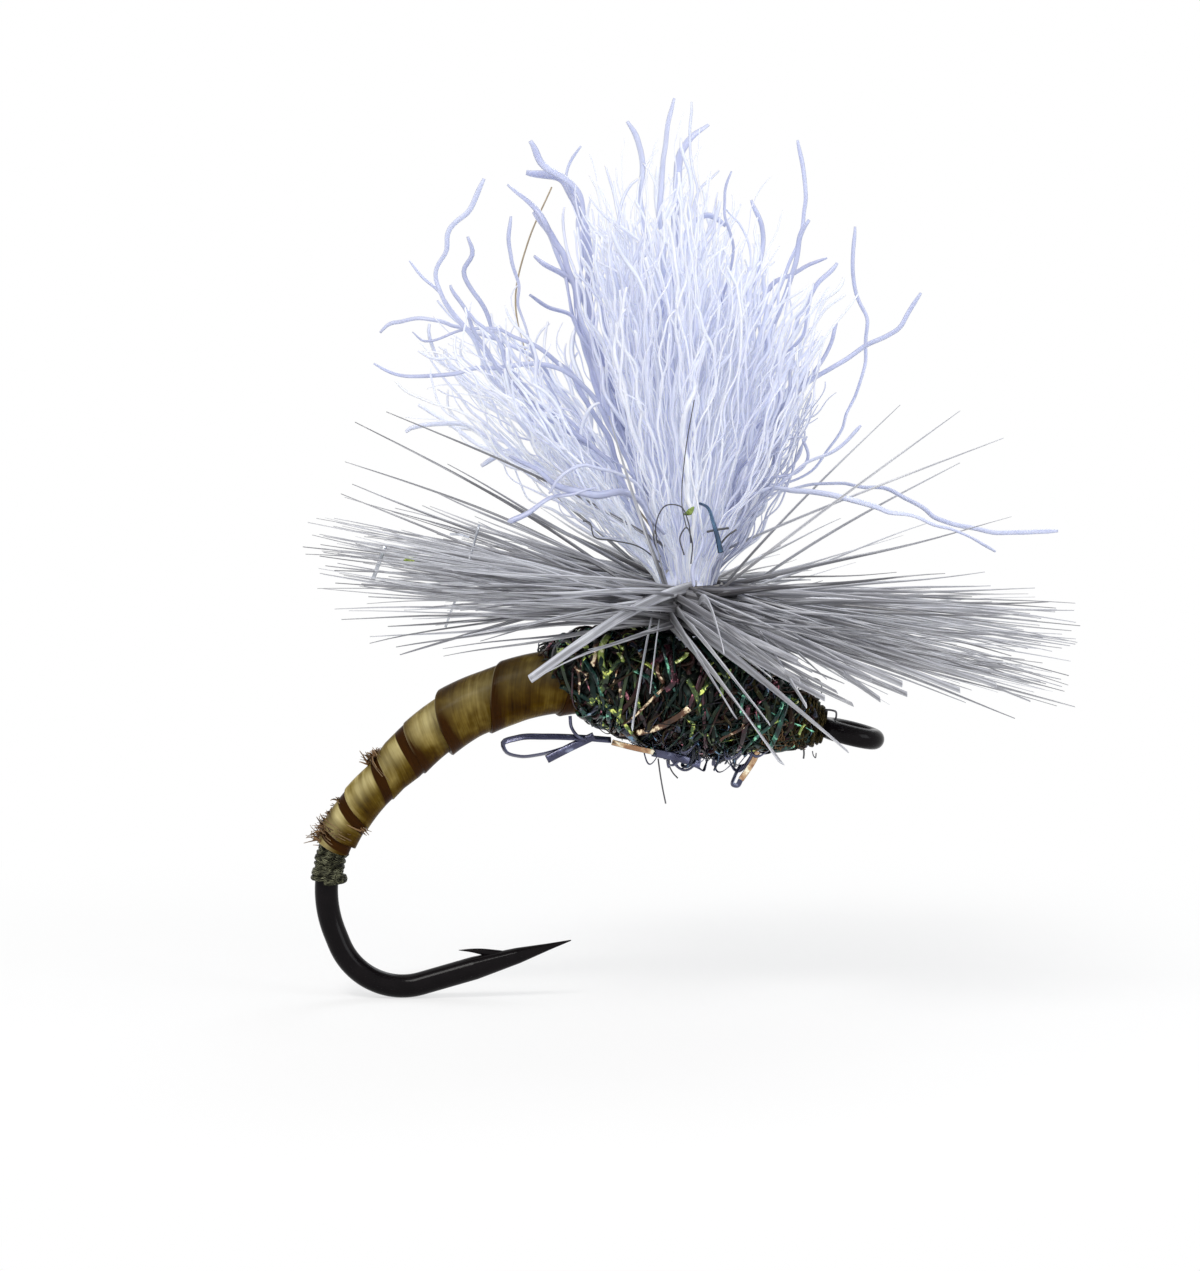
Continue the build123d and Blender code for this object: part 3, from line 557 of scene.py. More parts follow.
# The biot is one strip, and each row is a cut across it, from its rear edge to the one under the next turn
def makeAbdomen():
    stepsPerTurn = 96
    turns = len(biot["edges"]) - 2
    steps = round((turns + biot["tucked"]) * stepsPerTurn) + 1
    turn = np.linspace(-biot["tucked"], turns, steps)[:, None]
    angle = 2 * pi * turn
    edges = [biot["tuckedFrom"], *biot["edges"]]
    rear = np.interp(turn + 1, np.arange(turns + 3), edges)
    ahead = np.interp(turn + 2, np.arange(turns + 3), edges)
    # the torn edge wanders a little
    rear = rear + 0.012 * np.sin(5.3 * turn) + 0.008 * np.sin(17.1 * turn + 1)
    shown = rear - ahead
    across = np.concatenate([[0, 0.006, 0.02], np.linspace(0.05, 1, 34)]) * (shown + biot["overlap"])
    distance = rear - across
    under = np.interp(distance, *zip(*biot["under"]))
    # a turn lies on the one behind it at its rear edge and sinks to the body in front of that
    lift = np.interp(across, [0, 0.02, 0.3, 0.8], [0.045, 0.075, 0.066, 0.048]) + biot["thick"]
    # the strip is flat where it is tucked in, and the foremost turns stand proud
    lift = lift * np.interp(turn, [-biot["tucked"], 0.1], [0.30, 1])
    lift = lift + np.interp(turn, *biot["proud"]) * np.interp(across, [0, 0.9], [1, 0.55])
    lift[:, 0] -= 0.02
    shape = 1 + 0.010 * np.sin(3 * angle + 2.0 * turn)
    outer = onWire(distance, (under + lift) * shape, angle)
    inner = onWire(distance, (under + np.maximum(lift - biot["thick"], 0.004)) * shape, angle)[:, ::-1]
    rings = np.concatenate([outer, inner], axis=1)[:, ::-1]
    margin = across - (shown - biot["brownWidth"] * np.interp(turn, *biot["marginShare"]))
    margin = np.clip(margin / 0.05, 0, 1) * np.interp(turn, *biot["bare"])
    through = np.clip(1 - across / np.interp(turn, *biot["throughWidth"]), 0, 1) ** 0.7
    through = through * np.interp(turn, *biot["through"]) * (0.78 + 0.34 * np.clip(-np.sin(angle), -1, 1))
    front = np.clip((across - 0.45 * shown) / (0.5 * shown), 0, 1) * np.interp(turn, *biot["paleFront"])
    # painted light: the pale parts are paler on the upper side and fade towards the bottom
    paintedTopLight = np.clip(0.62 + 0.55 * np.sin(angle), 0.2, 1)
    # painted highlight: a pale band a little above the near side, strongest towards each turn's front
    bloom = np.clip(np.cos(angle - 0.60), 0, 1) ** 9 * np.clip(0.35 + across / shown, 0, 1)
    marks = {
        "brown": np.clip(margin + through, 0, 1),
        "pale": np.clip((np.interp(turn, *biot["pale"]) + front) * paintedTopLight, 0, 1),
        # painted highlight along the rear edge, stronger on the upper side
        "ridge": np.exp(-((across - 0.012) / 0.012) ** 2) * np.clip(np.sin(angle) + 0.2, 0, 1),
        "wound": np.broadcast_to(turn * 6.0, across.shape),
        "across": across,
        "bloom": bloom * np.interp(turn, *biot["bloom"]),
    }
    marks = {name: np.concatenate([values, values[:, ::-1]], axis=1) for name, values in marks.items()}
    loftPiece("biotSkin", "abdomen_biot", rings, biotSkin, marks=marks)


makeAbdomen()


def fuzzFinish():
    f = Finish("biotFuzz")
    colour = f.mix(f.mark() * 0.8 + f.noise(9.0) * 0.3, (0.018, 0.007, 0.001), (0.26, 0.14, 0.06))
    return f.surface(f.mix(f.along() ** 3.0 * 0.5, colour, (0.40, 0.28, 0.15)), 0.55, specular=0.2)


biotFuzz = fuzzFinish()

# fuzz torn from the biot: distance from the eye, angle, spread of both, how many, length, and the node
tufts = [
    (12.08, 112, 0.12, 40, 80, 0.30, "biot_butt_tag"),
    (11.80, 128, 0.16, 20, 34, 0.20, "biot_butt_tag"),
    (11.45, 128, 0.05, 16, 16, 0.18, "biot_torn_flaps"),
    (10.34, 98, 0.09, 11, 70, 0.24, "biot_torn_flaps"),
    (10.52, 92, 0.03, 4, 6, 0.40, "biot_torn_flaps"),
    (11.62, -62, 0.04, 6, 8, 0.20, "biot_torn_flaps"),
    (11.98, 66, 0.07, 44, 30, 0.14, "biot_butt_tag"),
]


def makeFuzz():
    chance = Chance(8)
    share = np.linspace(0, 1, 9)[:, None]
    for i, (place, angle, reach, swing, count, length, node) in enumerate(tufts):
        chance.count = count
        roots = place + chance.about(0, reach)
        angles = np.radians(angle + chance.about(0, swing))
        lengths = length * chance.even(0.35, 1.1)
        backwards = chance.about(0.1, 0.35) * lengths
        curl = chance.about(0, 0.5) * share ** 2
        rise = lengths * share * np.cos(chance.about(0, 0.3))
        skin = np.interp(roots, [10.3, 11, 12.2], [0.42, 0.40, 0.36])
        paths = onWire(roots + backwards * share, skin + rise, angles + curl).swapaxes(0, 1)
        widths = chance.even(0.022, 0.060) * (1 - 0.7 * share)
        strandPiece("biotFuzz%d" % i, node, paths, widths.T, biotFuzz, sides=5, tint=chance.even() ** 1.5)


makeFuzz()

print("head")


# A varnished-looking cone of thread, laid in crossing layers
def makeHead():
    def radiusAt(places, sunk):
        return np.interp(places, *zip(*threads["headShape"])) - sunk

    core = np.linspace(0.56, 1.24, 24)[:, None]
    rings = onWire(core, radiusAt(core, 0.08), aroundOnce(40))
    loftPiece("headCore", "head_thread_wraps", rings, headThread)
    for i, (start, end, sunk, *more) in enumerate(threads["headLaid"]):
        path = winding(onWire, start, end, lambda places, s=sunk: radiusAt(places, s), *more)
        strandPiece("headThread%d" % i, "head_thread_wraps", path, threads["headWidth"], headThread,
                    thick=threads["headThick"], across=acrossWound, sides=8, tint=0.3 + 0.1 * i)


makeHead()


def wiryThread():
    f = Finish("looseThread")
    return f.surface(f.mix(f.noise(6.0), (0.02, 0.02, 0.025), (0.10, 0.10, 0.115)), 0.4, coat=0.3)


looseThread = wiryThread()

# loose ends of thread at the head, for each node: thickness, and points from the eye's middle
headEnds = {
    "head_thread_loops": [
        (0.026, [(-0.98, -0.12, 0.72), (-1.02, -0.16, 1.0), (-0.86, -0.18, 1.18), (-0.66, -0.16, 1.12),
                 (-0.62, -0.14, 0.86), (-0.7, -0.12, 0.66), (-0.74, -0.1, 0.52)]),
        (0.026, [(-1.12, 0.1, 0.8), (-1.1, 0.06, 1.05), (-0.95, 0.02, 1.12), (-0.88, 0.02, 0.92),
                 (-0.92, 0.05, 0.66)]),
        (0.024, [(-1.22, -0.25, 0.86), (-1.02, -0.3, 1.0), (-0.88, -0.26, 0.86), (-0.92, -0.22, 0.7)]),
        (0.042, [(-0.6, -0.14, 0.47), (-0.52, -0.16, 0.505), (-0.4, -0.16, 0.5), (-0.32, -0.15, 0.47),
                 (-0.31, -0.14, 0.36), (-0.335, -0.13, 0.29)]),
    ],
    "head_thread_tags": [
        (0.04, [(-0.98, -0.1, -0.33), (-0.975, -0.1, -0.42), (-0.985, -0.1, -0.52)]),
        (0.024, [(-0.8, -0.1, -0.36), (-0.775, -0.11, -0.46), (-0.74, -0.11, -0.5), (-0.72, -0.1, -0.4)]),
    ],
}


def makeLooseEnds(ends, name, slot):
    rows = [(node, *row) for node, ofNode in ends.items() for row in ofNode]
    for i, (node, width, points) in enumerate(rows):
        strandPiece(name + str(i), node, course(points, 48), width, looseThread, sides=8, tint=0.5,
                    slot=slot)


makeLooseEnds(headEnds, "headEnd", "head_thread")

print("thorax")

thorax = {
    # distance from the eye and radius of the dubbing
    "shape": [(0.95, 0.50), (1.25, 0.60), (1.6, 0.70), (2.5, 1.00), (3.45, 1.26), (4.4, 1.20), (5.4, 1.02),
              (6.1, 0.90), (6.5, 0.72), (6.62, 0.52), (7.2, 0.40)],
    "ends": (0.9, 6.6),  # fibres keep between these distances from the eye
    "fibres": 760,
    "tangles": 210,
    "bellyLoops": 84,
    "underfur": 40,
    "flash": 150,
    # how the flash that isn't placed by hand is shared out
    "flashShares": {"green": 0.28, "teal": 0.26, "copper": 0.16, "magenta": 0.12, "blue": 0.18, "glint": 0},
    "seed": 21,
}
dubbing = "thorax_dubbing_front thorax_dubbing_rear"


# The dubbing ends further forward at the sides and below than on top
def thoraxRadius(distance, angle):
    back = 0.36 * (1 - np.sin(angle)) * np.clip((distance - 4.2) / 1.3, 0, 1)
    return np.interp(distance + back, *zip(*thorax["shape"]))


def peacockFinish():
    f = Finish("peacockDubbing")
    colour = f.ramp(f.mark() * 0.7 + f.noise(2.2, 2) * 0.3, [
        (0.10, (0.004, 0.004, 0.005)), (0.34, (0.006, 0.011, 0.008)), (0.48, (0.006, 0.028, 0.024)),
        (0.58, (0.034, 0.030, 0.008)), (0.68, (0.028, 0.006, 0.010)), (0.78, (0.022, 0.012, 0.006)),
        (0.88, (0.008, 0.013, 0.034))])
    glint = f.between(f.noise(9.0, 2), 0.62, 0.74)
    colour = f.mix(glint * 0.7, colour, (0.16, 0.20, 0.11))
    return f.surface(colour, 0.20 + f.noise(16.0) * 0.25, metallic=0.25, specular=0.18, coat=0.06,
                     coatRoughness=0.15)


peacock = peacockFinish()


# Flash fibre: thin film that flips between two colours along its length
def filmFinish(name, first, second, glint, metallic=0.75, beats=5.0, grit=0.5):
    f = Finish(name)
    wave = f.noiseOver(f.along() * beats, f.mark() * 53.0, f.across() * 1.5)
    grain = f.noise(14.0)
    colour = f.mix(f.between(wave, 0.40, 0.66), first, second)
    colour = f.mix(f.between(wave + (grain - 0.5) * grit, 0.58, 0.66), colour, glint)
    return f.surface(colour, 0.16 + grain * 0.16, grain * grit + wave, 0.005, metallic=metallic, coat=0.7,
                     coatRoughness=0.06)


# each flash has two colours and a glint, and some are more or less metallic, beating and gritty
films = {name: filmFinish(name + "Flash", *colours) for name, colours in {
    "green": ((0.010, 0.024, 0.008), (0.085, 0.160, 0.020), (0.85, 0.95, 0.22)),
    "teal": ((0.003, 0.016, 0.016), (0.010, 0.130, 0.090), (0.30, 0.80, 0.52)),
    "copper": ((0.020, 0.008, 0.003), (0.170, 0.062, 0.022), (1.0, 0.82, 0.55)),
    "magenta": ((0.014, 0.003, 0.006), (0.110, 0.016, 0.036), (0.62, 0.22, 0.28)),
    "blue": ((0.005, 0.007, 0.016), (0.022, 0.034, 0.080), (0.13, 0.26, 0.40)),
    "sky": ((0.020, 0.040, 0.090), (0.080, 0.190, 0.340), (0.33, 0.55, 0.72), 0.75, 2.0, 0.2),
    "slate": ((0.034, 0.036, 0.080), (0.085, 0.092, 0.175), (0.26, 0.29, 0.42), 0.75, 3.0, 0.15),
    "glint": ((0.16, 0.24, 0.04), (0.52, 0.62, 0.14), (0.98, 1.0, 0.58), 0.5),
    "cream": ((0.34, 0.17, 0.08), (0.80, 0.60, 0.36), (1.0, 0.93, 0.72), 0.75, 4.0, 0.3),
    "silver": ((0.42, 0.44, 0.48), (0.70, 0.73, 0.80), (0.95, 0.97, 1.0), 0.5),
}.items()}


# Courses wound over the dubbing: where each starts, how far it winds, its slant, its height over the body,
# and how it bulges and sways
def overThorax(stops, start, angle, wind, slant, rise, bulge, beat, phase, sway=0.05):
    share = np.linspace(0, 1, stops)
    start, angle, wind, slant, rise, bulge, beat, phase = (
        np.reshape(v, (-1, 1)) for v in (start, angle, wind, slant, rise, bulge, beat, phase))
    distance = np.clip(start + slant * share, *thorax["ends"]) + sway * np.sin(beat * 5 * share + phase)
    angle = angle + wind * share
    ripple = 0.03 * np.sin(beat * 7 * share + 2 * phase)
    radius = thoraxRadius(distance, angle) + rise + bulge * np.sin(pi * share) ** 2 + ripple
    return onWire(distance, radius, angle)


# Strands whose tint and twist are drawn after their courses and width
def layFibres(name, replaced, paths, width, finish, chance, twist, thick, **more):
    strandPiece(name, replaced, paths, width[:, None], finish, thick=thick, tint=chance.even(),
                twist=chance.about(0, twist), **more)


def makeThorax():
    places = np.linspace(0.98, 6.45, 90)[:, None]
    turn = aroundOnce(90)
    lumps = 0.035 * np.sin(3 * turn + 4 * places) + 0.03 * np.sin(5 * turn - 7 * places + 1)
    lumps = lumps + 0.02 * np.sin(11 * turn + 13 * places)
    core = onWire(places, thoraxRadius(places, turn) * (0.92 + lumps), turn)
    loftPiece("thoraxCore", dubbing, core[:, ::-1], peacock, marks={"tint": np.clip(0.2 + lumps * 3, 0, 1)})
    # flat crinkled fibres laid every way over the body
    chance = Chance(thorax["seed"], thorax["fibres"])
    even, about = chance.even, chance.about
    paths = overThorax(15, even(0.98, 6.3), even(0, 2 * pi), even(0.3, 1.5), about(0, 0.75),
                       even(-0.08, 0.03), np.abs(about(0, 0.06)), even(0.5, 2.8), even(0, 6))
    layFibres("thoraxFibres", dubbing, paths, 0.035 + 0.14 * even() ** 2, peacock, chance, 1.6, 0.018,
              across=(1, 0.05, 0), sides=5)
    # loose tangles that stand off the belly and the back
    chance.count = thorax["tangles"]
    belly = even() < 0.78
    angle = np.where(belly, about(-1.45, 0.55), about(1.5, 0.6))
    start = np.where(belly, even(1.9, 5.9), even(4.4, 6.2))
    ahead = start < 3.9
    slate, teal = ~ahead & (even() < 0.4), ~ahead & (even() < 0.3)
    for colour, part in (("blue", ahead), ("slate", slate), ("teal", teal)):
        chance.count = part.sum()
        paths = overThorax(21, start[part], angle[part], about(0, 0.45), about(0, 0.34), -0.05,
                           even(0.05, 0.21), even(0.4, 1.9), even(0, 6))
        layFibres("thoraxTangles" + colour.capitalize(), dubbing, paths, even(0.020, 0.048), films[colour],
                  chance, 2.0, 0.016, sides=5)
    # crinkled loops hang from the fullest part of the belly
    for colour, part in (("blue", 0.6), ("slate", 0.4)):
        chance.count = round(thorax["bellyLoops"] * part)
        paths = overThorax(27, even(1.95, 3.9), about(-1.62, 0.35), about(0, 0.30), about(0, 0.45), -0.05,
                           0.10 + 0.42 * even() ** 1.6, even(0.8, 2.4), even(0, 6))
        layFibres("bellyLoops" + colour.capitalize(), dubbing, paths, even(0.030, 0.085), films[colour],
                  chance, 2.5, 0.018)
    # a few brown fibres show under the front of the dubbing
    chance.count = thorax["underfur"]
    paths = overThorax(13, even(1.0, 1.7), about(-0.95, 0.3), about(0, 0.5), about(0, 0.25), 0.02,
                       even(0, 0.04), even(0.5, 1.5), even(0, 6))
    strandPiece("brownUnderfur", "thorax_dubbing_front", paths, even(0.03, 0.06)[:, None], biotFuzz,
                thick=0.02, sides=5, tint=even(0.0, 0.45))


makeThorax()

# the flash that shows, by colour: distance from the eye, angle, wind, slant, width, rise
flashShown = {
    "green": [
        (5.28, 20, -48, 0.2, 0.15, 0.06), (5.78, 60, -48, -0.22, 0.12, 0.05),
        (4.98, 40, -46, 0.3, 0.1, 0.06), (4.95, 36, -22, -0.7, 0.12, 0.07),
        (2.75, 34, -24, 0.05, 0.11, 0.07), (3.2, -20, -55, -0.15, 0.09, 0.06),
        (6.18, 74, -105, -0.35, 0.09, 0.05),
    ],
    "teal": [
        (4.75, 18, -20, -0.75, 0.14, 0.06), (1.42, 55, -110, 0.3, 0.12, 0.07),
        (1.62, 30, -95, 0.45, 0.09, 0.08), (5.15, -42, -60, 0.3, 0.16, 0.05),
        (2.35, 20, -30, -0.1, 0.09, 0.07), (5.6, -38, -26, 0.3, 0.16, 0.06),
    ],
    "copper": [
        (3.55, -6, -60, 1.15, 0.15, 0.07), (3.95, 8, -52, 0.95, 0.07, 0.09),
        (5.95, 22, -40, -0.2, 0.07, 0.06), (2.3, -6, -34, 0.25, 0.08, 0.06),
        (5.75, 18, -16, -0.05, 0.12, 0.08), (4.9, 6, -18, 0.1, 0.1, 0.08),
    ],
    "magenta": [
        (4.25, 52, -40, 0.1, 0.16, 0.04), (4.0, 48, -36, -0.1, 0.15, 0.04),
        (1.95, 30, -40, 0.12, 0.13, 0.05), (3.95, 30, -26, 0.08, 0.14, 0.07),
    ],
    "blue": [
        (4.6, -52, -40, -1.3, 0.2, 0.06), (5.4, -30, -50, 0.35, 0.17, 0.05),
    ],
    "glint": [
        (5.22, 60, -46, 0.06, 0.15, 0.07), (5.85, 58, -16, -0.12, 0.12, 0.07),
        (6.1, 52, -14, 0.16, 0.09, 0.06), (5.62, 74, -10, 0.1, 0.09, 0.08),
        (5.42, 40, -9, 0.05, 0.08, 0.08), (5.02, 78, -12, -0.12, 0.09, 0.08),
        (4.95, 36, -12, 0.1, 0.08, 0.08), (5.1, 50, -10, -0.1, 0.11, 0.07),
        (4.78, 62, -10, 0.12, 0.07, 0.07), (3.86, 44, -12, 0.05, 0.09, 0.08),
        (2.92, 42, -16, 0.04, 0.08, 0.08), (6.22, 30, -12, 0.16, 0.07, 0.05),
        (1.32, 44, -12, 0.1, 0.07, 0.06), (1.66, 2, -14, 0.12, 0.08, 0.07),
        (0.96, 2, -30, 0.02, 0.06, 0.06),
    ],
}


def makeFlash():
    chance = Chance(thorax["seed"] + 1)
    draw = chance.source
    groups = {}
    for colour, part in thorax["flashShares"].items():
        groups[colour] = [(place, math.radians(angle), math.radians(wind), slant, width, rise)
                          for place, angle, wind, slant, width, rise in flashShown[colour]]
        for _ in range(round(thorax["flash"] * part)):
            groups[colour].append((draw.uniform(1.0, 6.2), draw.uniform(0, 2 * pi), -draw.uniform(0.3, 1.7),
                                   draw.normal(0, 0.55), draw.uniform(0.05, 0.14), draw.uniform(0, 0.05)))
    for colour, rows in groups.items():
        place, angle, wind, slant, width, rise = np.array(rows).T
        chance.count = len(rows)
        paths = overThorax(22, place, angle, wind, slant, rise, chance.even(0, 0.05), chance.even(0.3, 1.0),
                           chance.even(0, 6), 0.11)
        layFibres("flash" + colour.capitalize(), "thorax_flash_ribbons", paths, width, films[colour],
                  chance, 0.5, 0.014, across=(1, 0.05, 0))


makeFlash()

# flat flash that hangs free, for each node: colour, width, thickness, first direction across, and points
hangingFlash = {
    "flash_loop": [
        ("slate", 0.15, 0.018, (0, 0.75, 1), [(-5.0, -0.72, -0.06), (-5.6, -0.85, 0.0), (-6.35, -0.9, 0.03),
                                              (-6.95, -0.9, 0.0), (-7.24, -0.9, -0.12),
                                              (-7.18, -0.9, -0.28), (-6.9, -0.9, -0.38),
                                              (-6.5, -0.88, -0.35), (-5.95, -0.85, -0.2),
                                              (-5.4, -0.78, 0.0)]),
        ("slate", 0.18, 0.018, (0, 0.4, 1), [(-5.35, -0.86, 0.04), (-5.8, -0.9, -0.17),
                                             (-6.1, -0.92, -0.32), (-6.33, -0.93, -0.44)]),
        ("slate", 0.075, 0.015, (1, 0.4, 0), [(-5.85, -0.8, 0.45), (-5.82, -0.86, 0.22),
                                              (-5.66, -0.9, 0.02), (-5.5, -0.88, -0.04)]),
    ],
    "thorax_flash_ribbons": [
        ("cream", 0.12, 0.016, (0, 0.3, 1), [(-4.98, -0.6, -0.12), (-4.5, -0.8, -0.22),
                                             (-4.1, -0.85, -0.3)]),
        ("slate", 0.18, 0.016, (0, 0.3, 1), [(-4.15, -0.82, -0.3), (-3.6, -0.8, -0.42),
                                             (-3.15, -0.7, -0.58)]),
    ],
    "hanging_tinsel": [
        ("cream", 0.13, 0.018, (1, 0.3, 0.4), [(-1.95, -0.35, -0.34), (-2.02, -0.38, -0.5),
                                               (-2.16, -0.42, -0.72), (-2.3, -0.44, -0.92)]),
        ("slate", 0.12, 0.018, (1, 0.3, 0.4), [(-2.3, -0.44, -0.92), (-2.38, -0.45, -1.04),
                                               (-2.47, -0.43, -1.02), (-2.43, -0.4, -0.86),
                                               (-2.3, -0.36, -0.62)]),
    ],
}


def makeHangingFlash():
    rows = [(node, *row) for node, ofNode in hangingFlash.items() for row in ofNode]
    for i, (node, colour, width, thick, across, points) in enumerate(rows):
        strandPiece("hangingFlash%d" % i, node, course(points, 60), width, films[colour], thick=thick,
                    across=across, sides=8, tint=i / 7)


makeHangingFlash()

# hairs and thread that stand clear, for each node: thickness, and points from the eye's middle
looseHairs = {
    "trailing_threads": [
        (0.034, [(-4.02, -0.25, -0.5), (-3.98, -0.27, -0.8), (-3.93, -0.26, -1.1), (-3.86, -0.3, -1.44)]),
        (0.032, [(-3.78, 0.2, -0.52), (-3.77, 0.2, -0.72), (-3.7, 0.22, -0.86), (-3.6, 0.22, -0.97)]),
    ],
    "thorax_flash_ribbons": [
        (0.045, [(-6.15, -0.55, 1.35), (-6.22, -0.6, 1.62), (-6.12, -0.65, 1.92), (-5.9, -0.6, 1.98),
                 (-5.82, -0.6, 1.88)]),
    ],
    "post_thread_loops": [
        (0.028, [(-4.05, -1.0, 4.05), (-4.08, -1.15, 4.45), (-3.85, -1.3, 4.85), (-3.58, -1.3, 4.82),
                 (-3.42, -1.2, 4.5), (-3.36, -1.05, 4.05)]),
        (0.03, [(-3.36, -1.0, 3.62), (-3.34, -1.1, 4.1), (-3.46, -1.18, 4.38), (-3.58, -1.12, 4.2),
                (-3.5, -1.02, 3.8)]),
        (0.028, [(-3.98, -0.9, 3.75), (-4.12, -1.0, 4.1), (-4.14, -1.05, 4.45)]),
        (0.03, [(-3.95, -0.75, 3.6), (-4.45, -1.0, 3.98), (-5.0, -1.2, 4.12), (-5.35, -1.3, 4.2),
                (-5.46, -1.3, 4.5), (-5.58, -1.3, 4.52)]),
    ],
    "dark_hair": [
        (0.022, [(-3.45, -1.0, 4.35), (-3.55, -1.45, 4.85), (-3.5, -1.9, 5.9), (-3.32, -2.1, 7.03)]),
    ],
    "hackle_quill_stub": [
        (0.05, [(-3.03, -1.0, 4.28), (-2.8, -1.05, 4.33), (-2.58, -1.05, 4.36)]),
        (0.04, [(-2.75, -0.9, 4.02), (-2.6, -1.0, 4.2), (-2.42, -1.0, 4.33)]),
    ],
}
makeLooseEnds(looseHairs, "looseHair", "dark_fibre")

print("post and hackle")


# the yarn glows a little in its own colour: painted light that stands in for the light that gets through
# the thin yarn
def yarnFinish(name, dark, middle, pale, glow, through):
    f = Finish(name)
    along = f.along()
    fine = f.noiseOver(f.across() * 6.0, along * 20.0, f.mark() * 91.0)
    shade = f.noise(0.9, 2) * 0.45 + f.mark() * 0.65
    colour = f.mix(fine * 0.46, f.ramp(shade, [(0.12, dark), (0.40, middle), (0.85, pale)]), pale)
    # the ends are greyer
    colour = f.mix(along * 0.34, colour, middle)
    colour = f.mix(along * along * 0.13, colour, dark)
    return f.surface(colour, 0.26 + fine * 0.22, fine, 0.006, coat=0.1, coatRoughness=0.2, glow=glow,
                     subsurface=through, subsurfaceRadius=(0.8, 0.9, 1.0), subsurfaceScale=0.15 * mm)


def barbFinish():
    f = Finish("dunBarb")
    across, along, tint = f.across(), f.along(), f.mark()
    grey = f.ramp(tint, [(0.0, (0.045, 0.043, 0.048)), (0.18, (0.160, 0.158, 0.169)),
                         (0.50, (0.570, 0.576, 0.630)), (1.0, (0.880, 0.895, 0.960))])
    colour = f.mix(along * 0.30, grey, (0.52, 0.53, 0.60))
    # a dark quill line runs along the middle of each barb, and the web beside it is paler
    line = f.between((across * (4 * pi) - pi / 2).maths("SINE"), 0.35, 0.95, smooth=True)
    colour = f.mix(line * 0.50, colour, (0.100, 0.098, 0.104))
    # pale streaks along each barb are painted highlights
    streak = f.noiseOver(across * 7.0, along * 5.0, tint * 61.0, 3.0)
    colour = f.mix(f.between(streak, 0.50, 0.66) * 0.70, colour, (0.92, 0.93, 0.97))
    # the web is made of fine threads that lie along the barb, with painted shade in the gaps between them
    web = f.noiseOver(across * 26.0, along * 3.0, tint * 37.0)
    colour = f.mix(f.between(web, 0.56, 0.40, smooth=True) * 0.50, colour, (0.110, 0.108, 0.116))
    # bare near the quill, and darkened there with painted shade for the crowded middle of the hackle
    colour = f.mix(f.between(along, 0.02, 0.32, 0.88, 0.0), colour, (0.055, 0.050, 0.052))
    return f.surface(colour, 0.24 + streak * 0.26, streak, 0.004, coat=0.3, coatRoughness=0.12)


def quillFinish():
    f = Finish("greyQuill")
    grain = f.noiseOver(f.across() * 6.0, f.along() * 60.0, f.mark() * 37.0, 3.0)
    return f.surface(f.mix(grain, (0.05, 0.045, 0.04), (0.22, 0.20, 0.18)), 0.4 + grain * 0.2, grain, 0.008,
                     coat=0.3)


whiteYarn = yarnFinish("whiteYarn", (0.37, 0.40, 0.60), (0.72, 0.755, 0.96), (0.94, 0.97, 1.0), 0.14, 0.5)
# shadedYarn is a darker copy of the same white yarn with little glow: painted shade for the outer and loose
# fibres
shadedYarn = yarnFinish("shadedYarn", (0.24, 0.26, 0.42), (0.46, 0.49, 0.72), (0.86, 0.90, 1.0), 0.03, 0.3)
dunBarb = barbFinish()
greyQuill = quillFinish()
refinish(whiteYarn, "wing_yarn_butt")


def makePost():
    heights = np.linspace(-0.1, post["profile"][-1][0] - 0.1, 30)[:, None]
    angles = aroundOnce(60)
    ribs = 1 + 0.02 * np.sin(17 * angles) + 0.012 * np.sin(31 * angles + 1)
    radius = postRadius(heights) * 0.94 * ribs * np.interp(heights, post["parts"], [1, 0.35])
    loftPiece("postYarn", "wing_post", onPost(heights, radius, angles), whiteYarn,
              marks={"tint": np.full(radius.shape, 0.3)})
    foot = post["wrapStart"]
    top = foot + 0.14 + post["pitch"] * post["turns"]
    # name, node, start, end, how far it lies out of the post, pitch, phase, wobble and seed
    for name, node, start, end, lay, *more in (
        ("postWraps", "post_thread_wraps", foot - 0.12, top, 0.035, 0.062, 0.0, 0.008, 1),
        ("postCross", "post_thread_wraps", top + 0.02, top - 0.25, 0.065, -0.09, 0.6, 0.02, 2),
        ("tieOff", "hackle_tie_off_wraps", foot - 0.05, foot + 0.2, 0.09, 0.06, 2.0, 0.01, 4),
    ):
        path = winding(onPost, start, end, lambda height, out=lay: postRadius(height) + out, *more)
        strandPiece(name, node, path, post["threadWidth"], darkThread, across=acrossWound, sides=8,
                    tint=0.4)


makePost()

hackle = {
    "barbs": 520,
    "length": 7.25,
    "root": 0.105,  # width of a barb at its root and at its tip
    "tip": 0.018,
    "quill": (0.13, 0.10),  # width and thickness
    "quillFrom": 0.28,  # height of its first turn above the start of the wraps
    "quillOut": 0.135,  # how far its middle lies out of the post
    "tilt": 7.5,  # degrees by which the hackle dips towards the eye
    "spreadRear": 3.4,  # degrees by which barbs stand above or below the hackle's plane
    "spreadFront": 4.6,
    "parting": 0.62,  # radians to each side of the near side that barbs keep clear of
    "pushed": (0.30, 0.65),  # radians by which they are moved away from there
    "strays": 0.03,  # share of barbs that stand well out of the plane
    "strayRise": (12, 20),  # and by how many degrees
    "short": 0.14,  # share of barbs that are short
    "droop": 17.0,  # degrees by which the near barbs at the front may hang over the thorax
    "rideUp": 11.0,  # degrees by which the rearmost ones may ride up
    "wide": 0.15,  # a placed barb wider than this keeps its web to the tip
    "seed": 31,
}
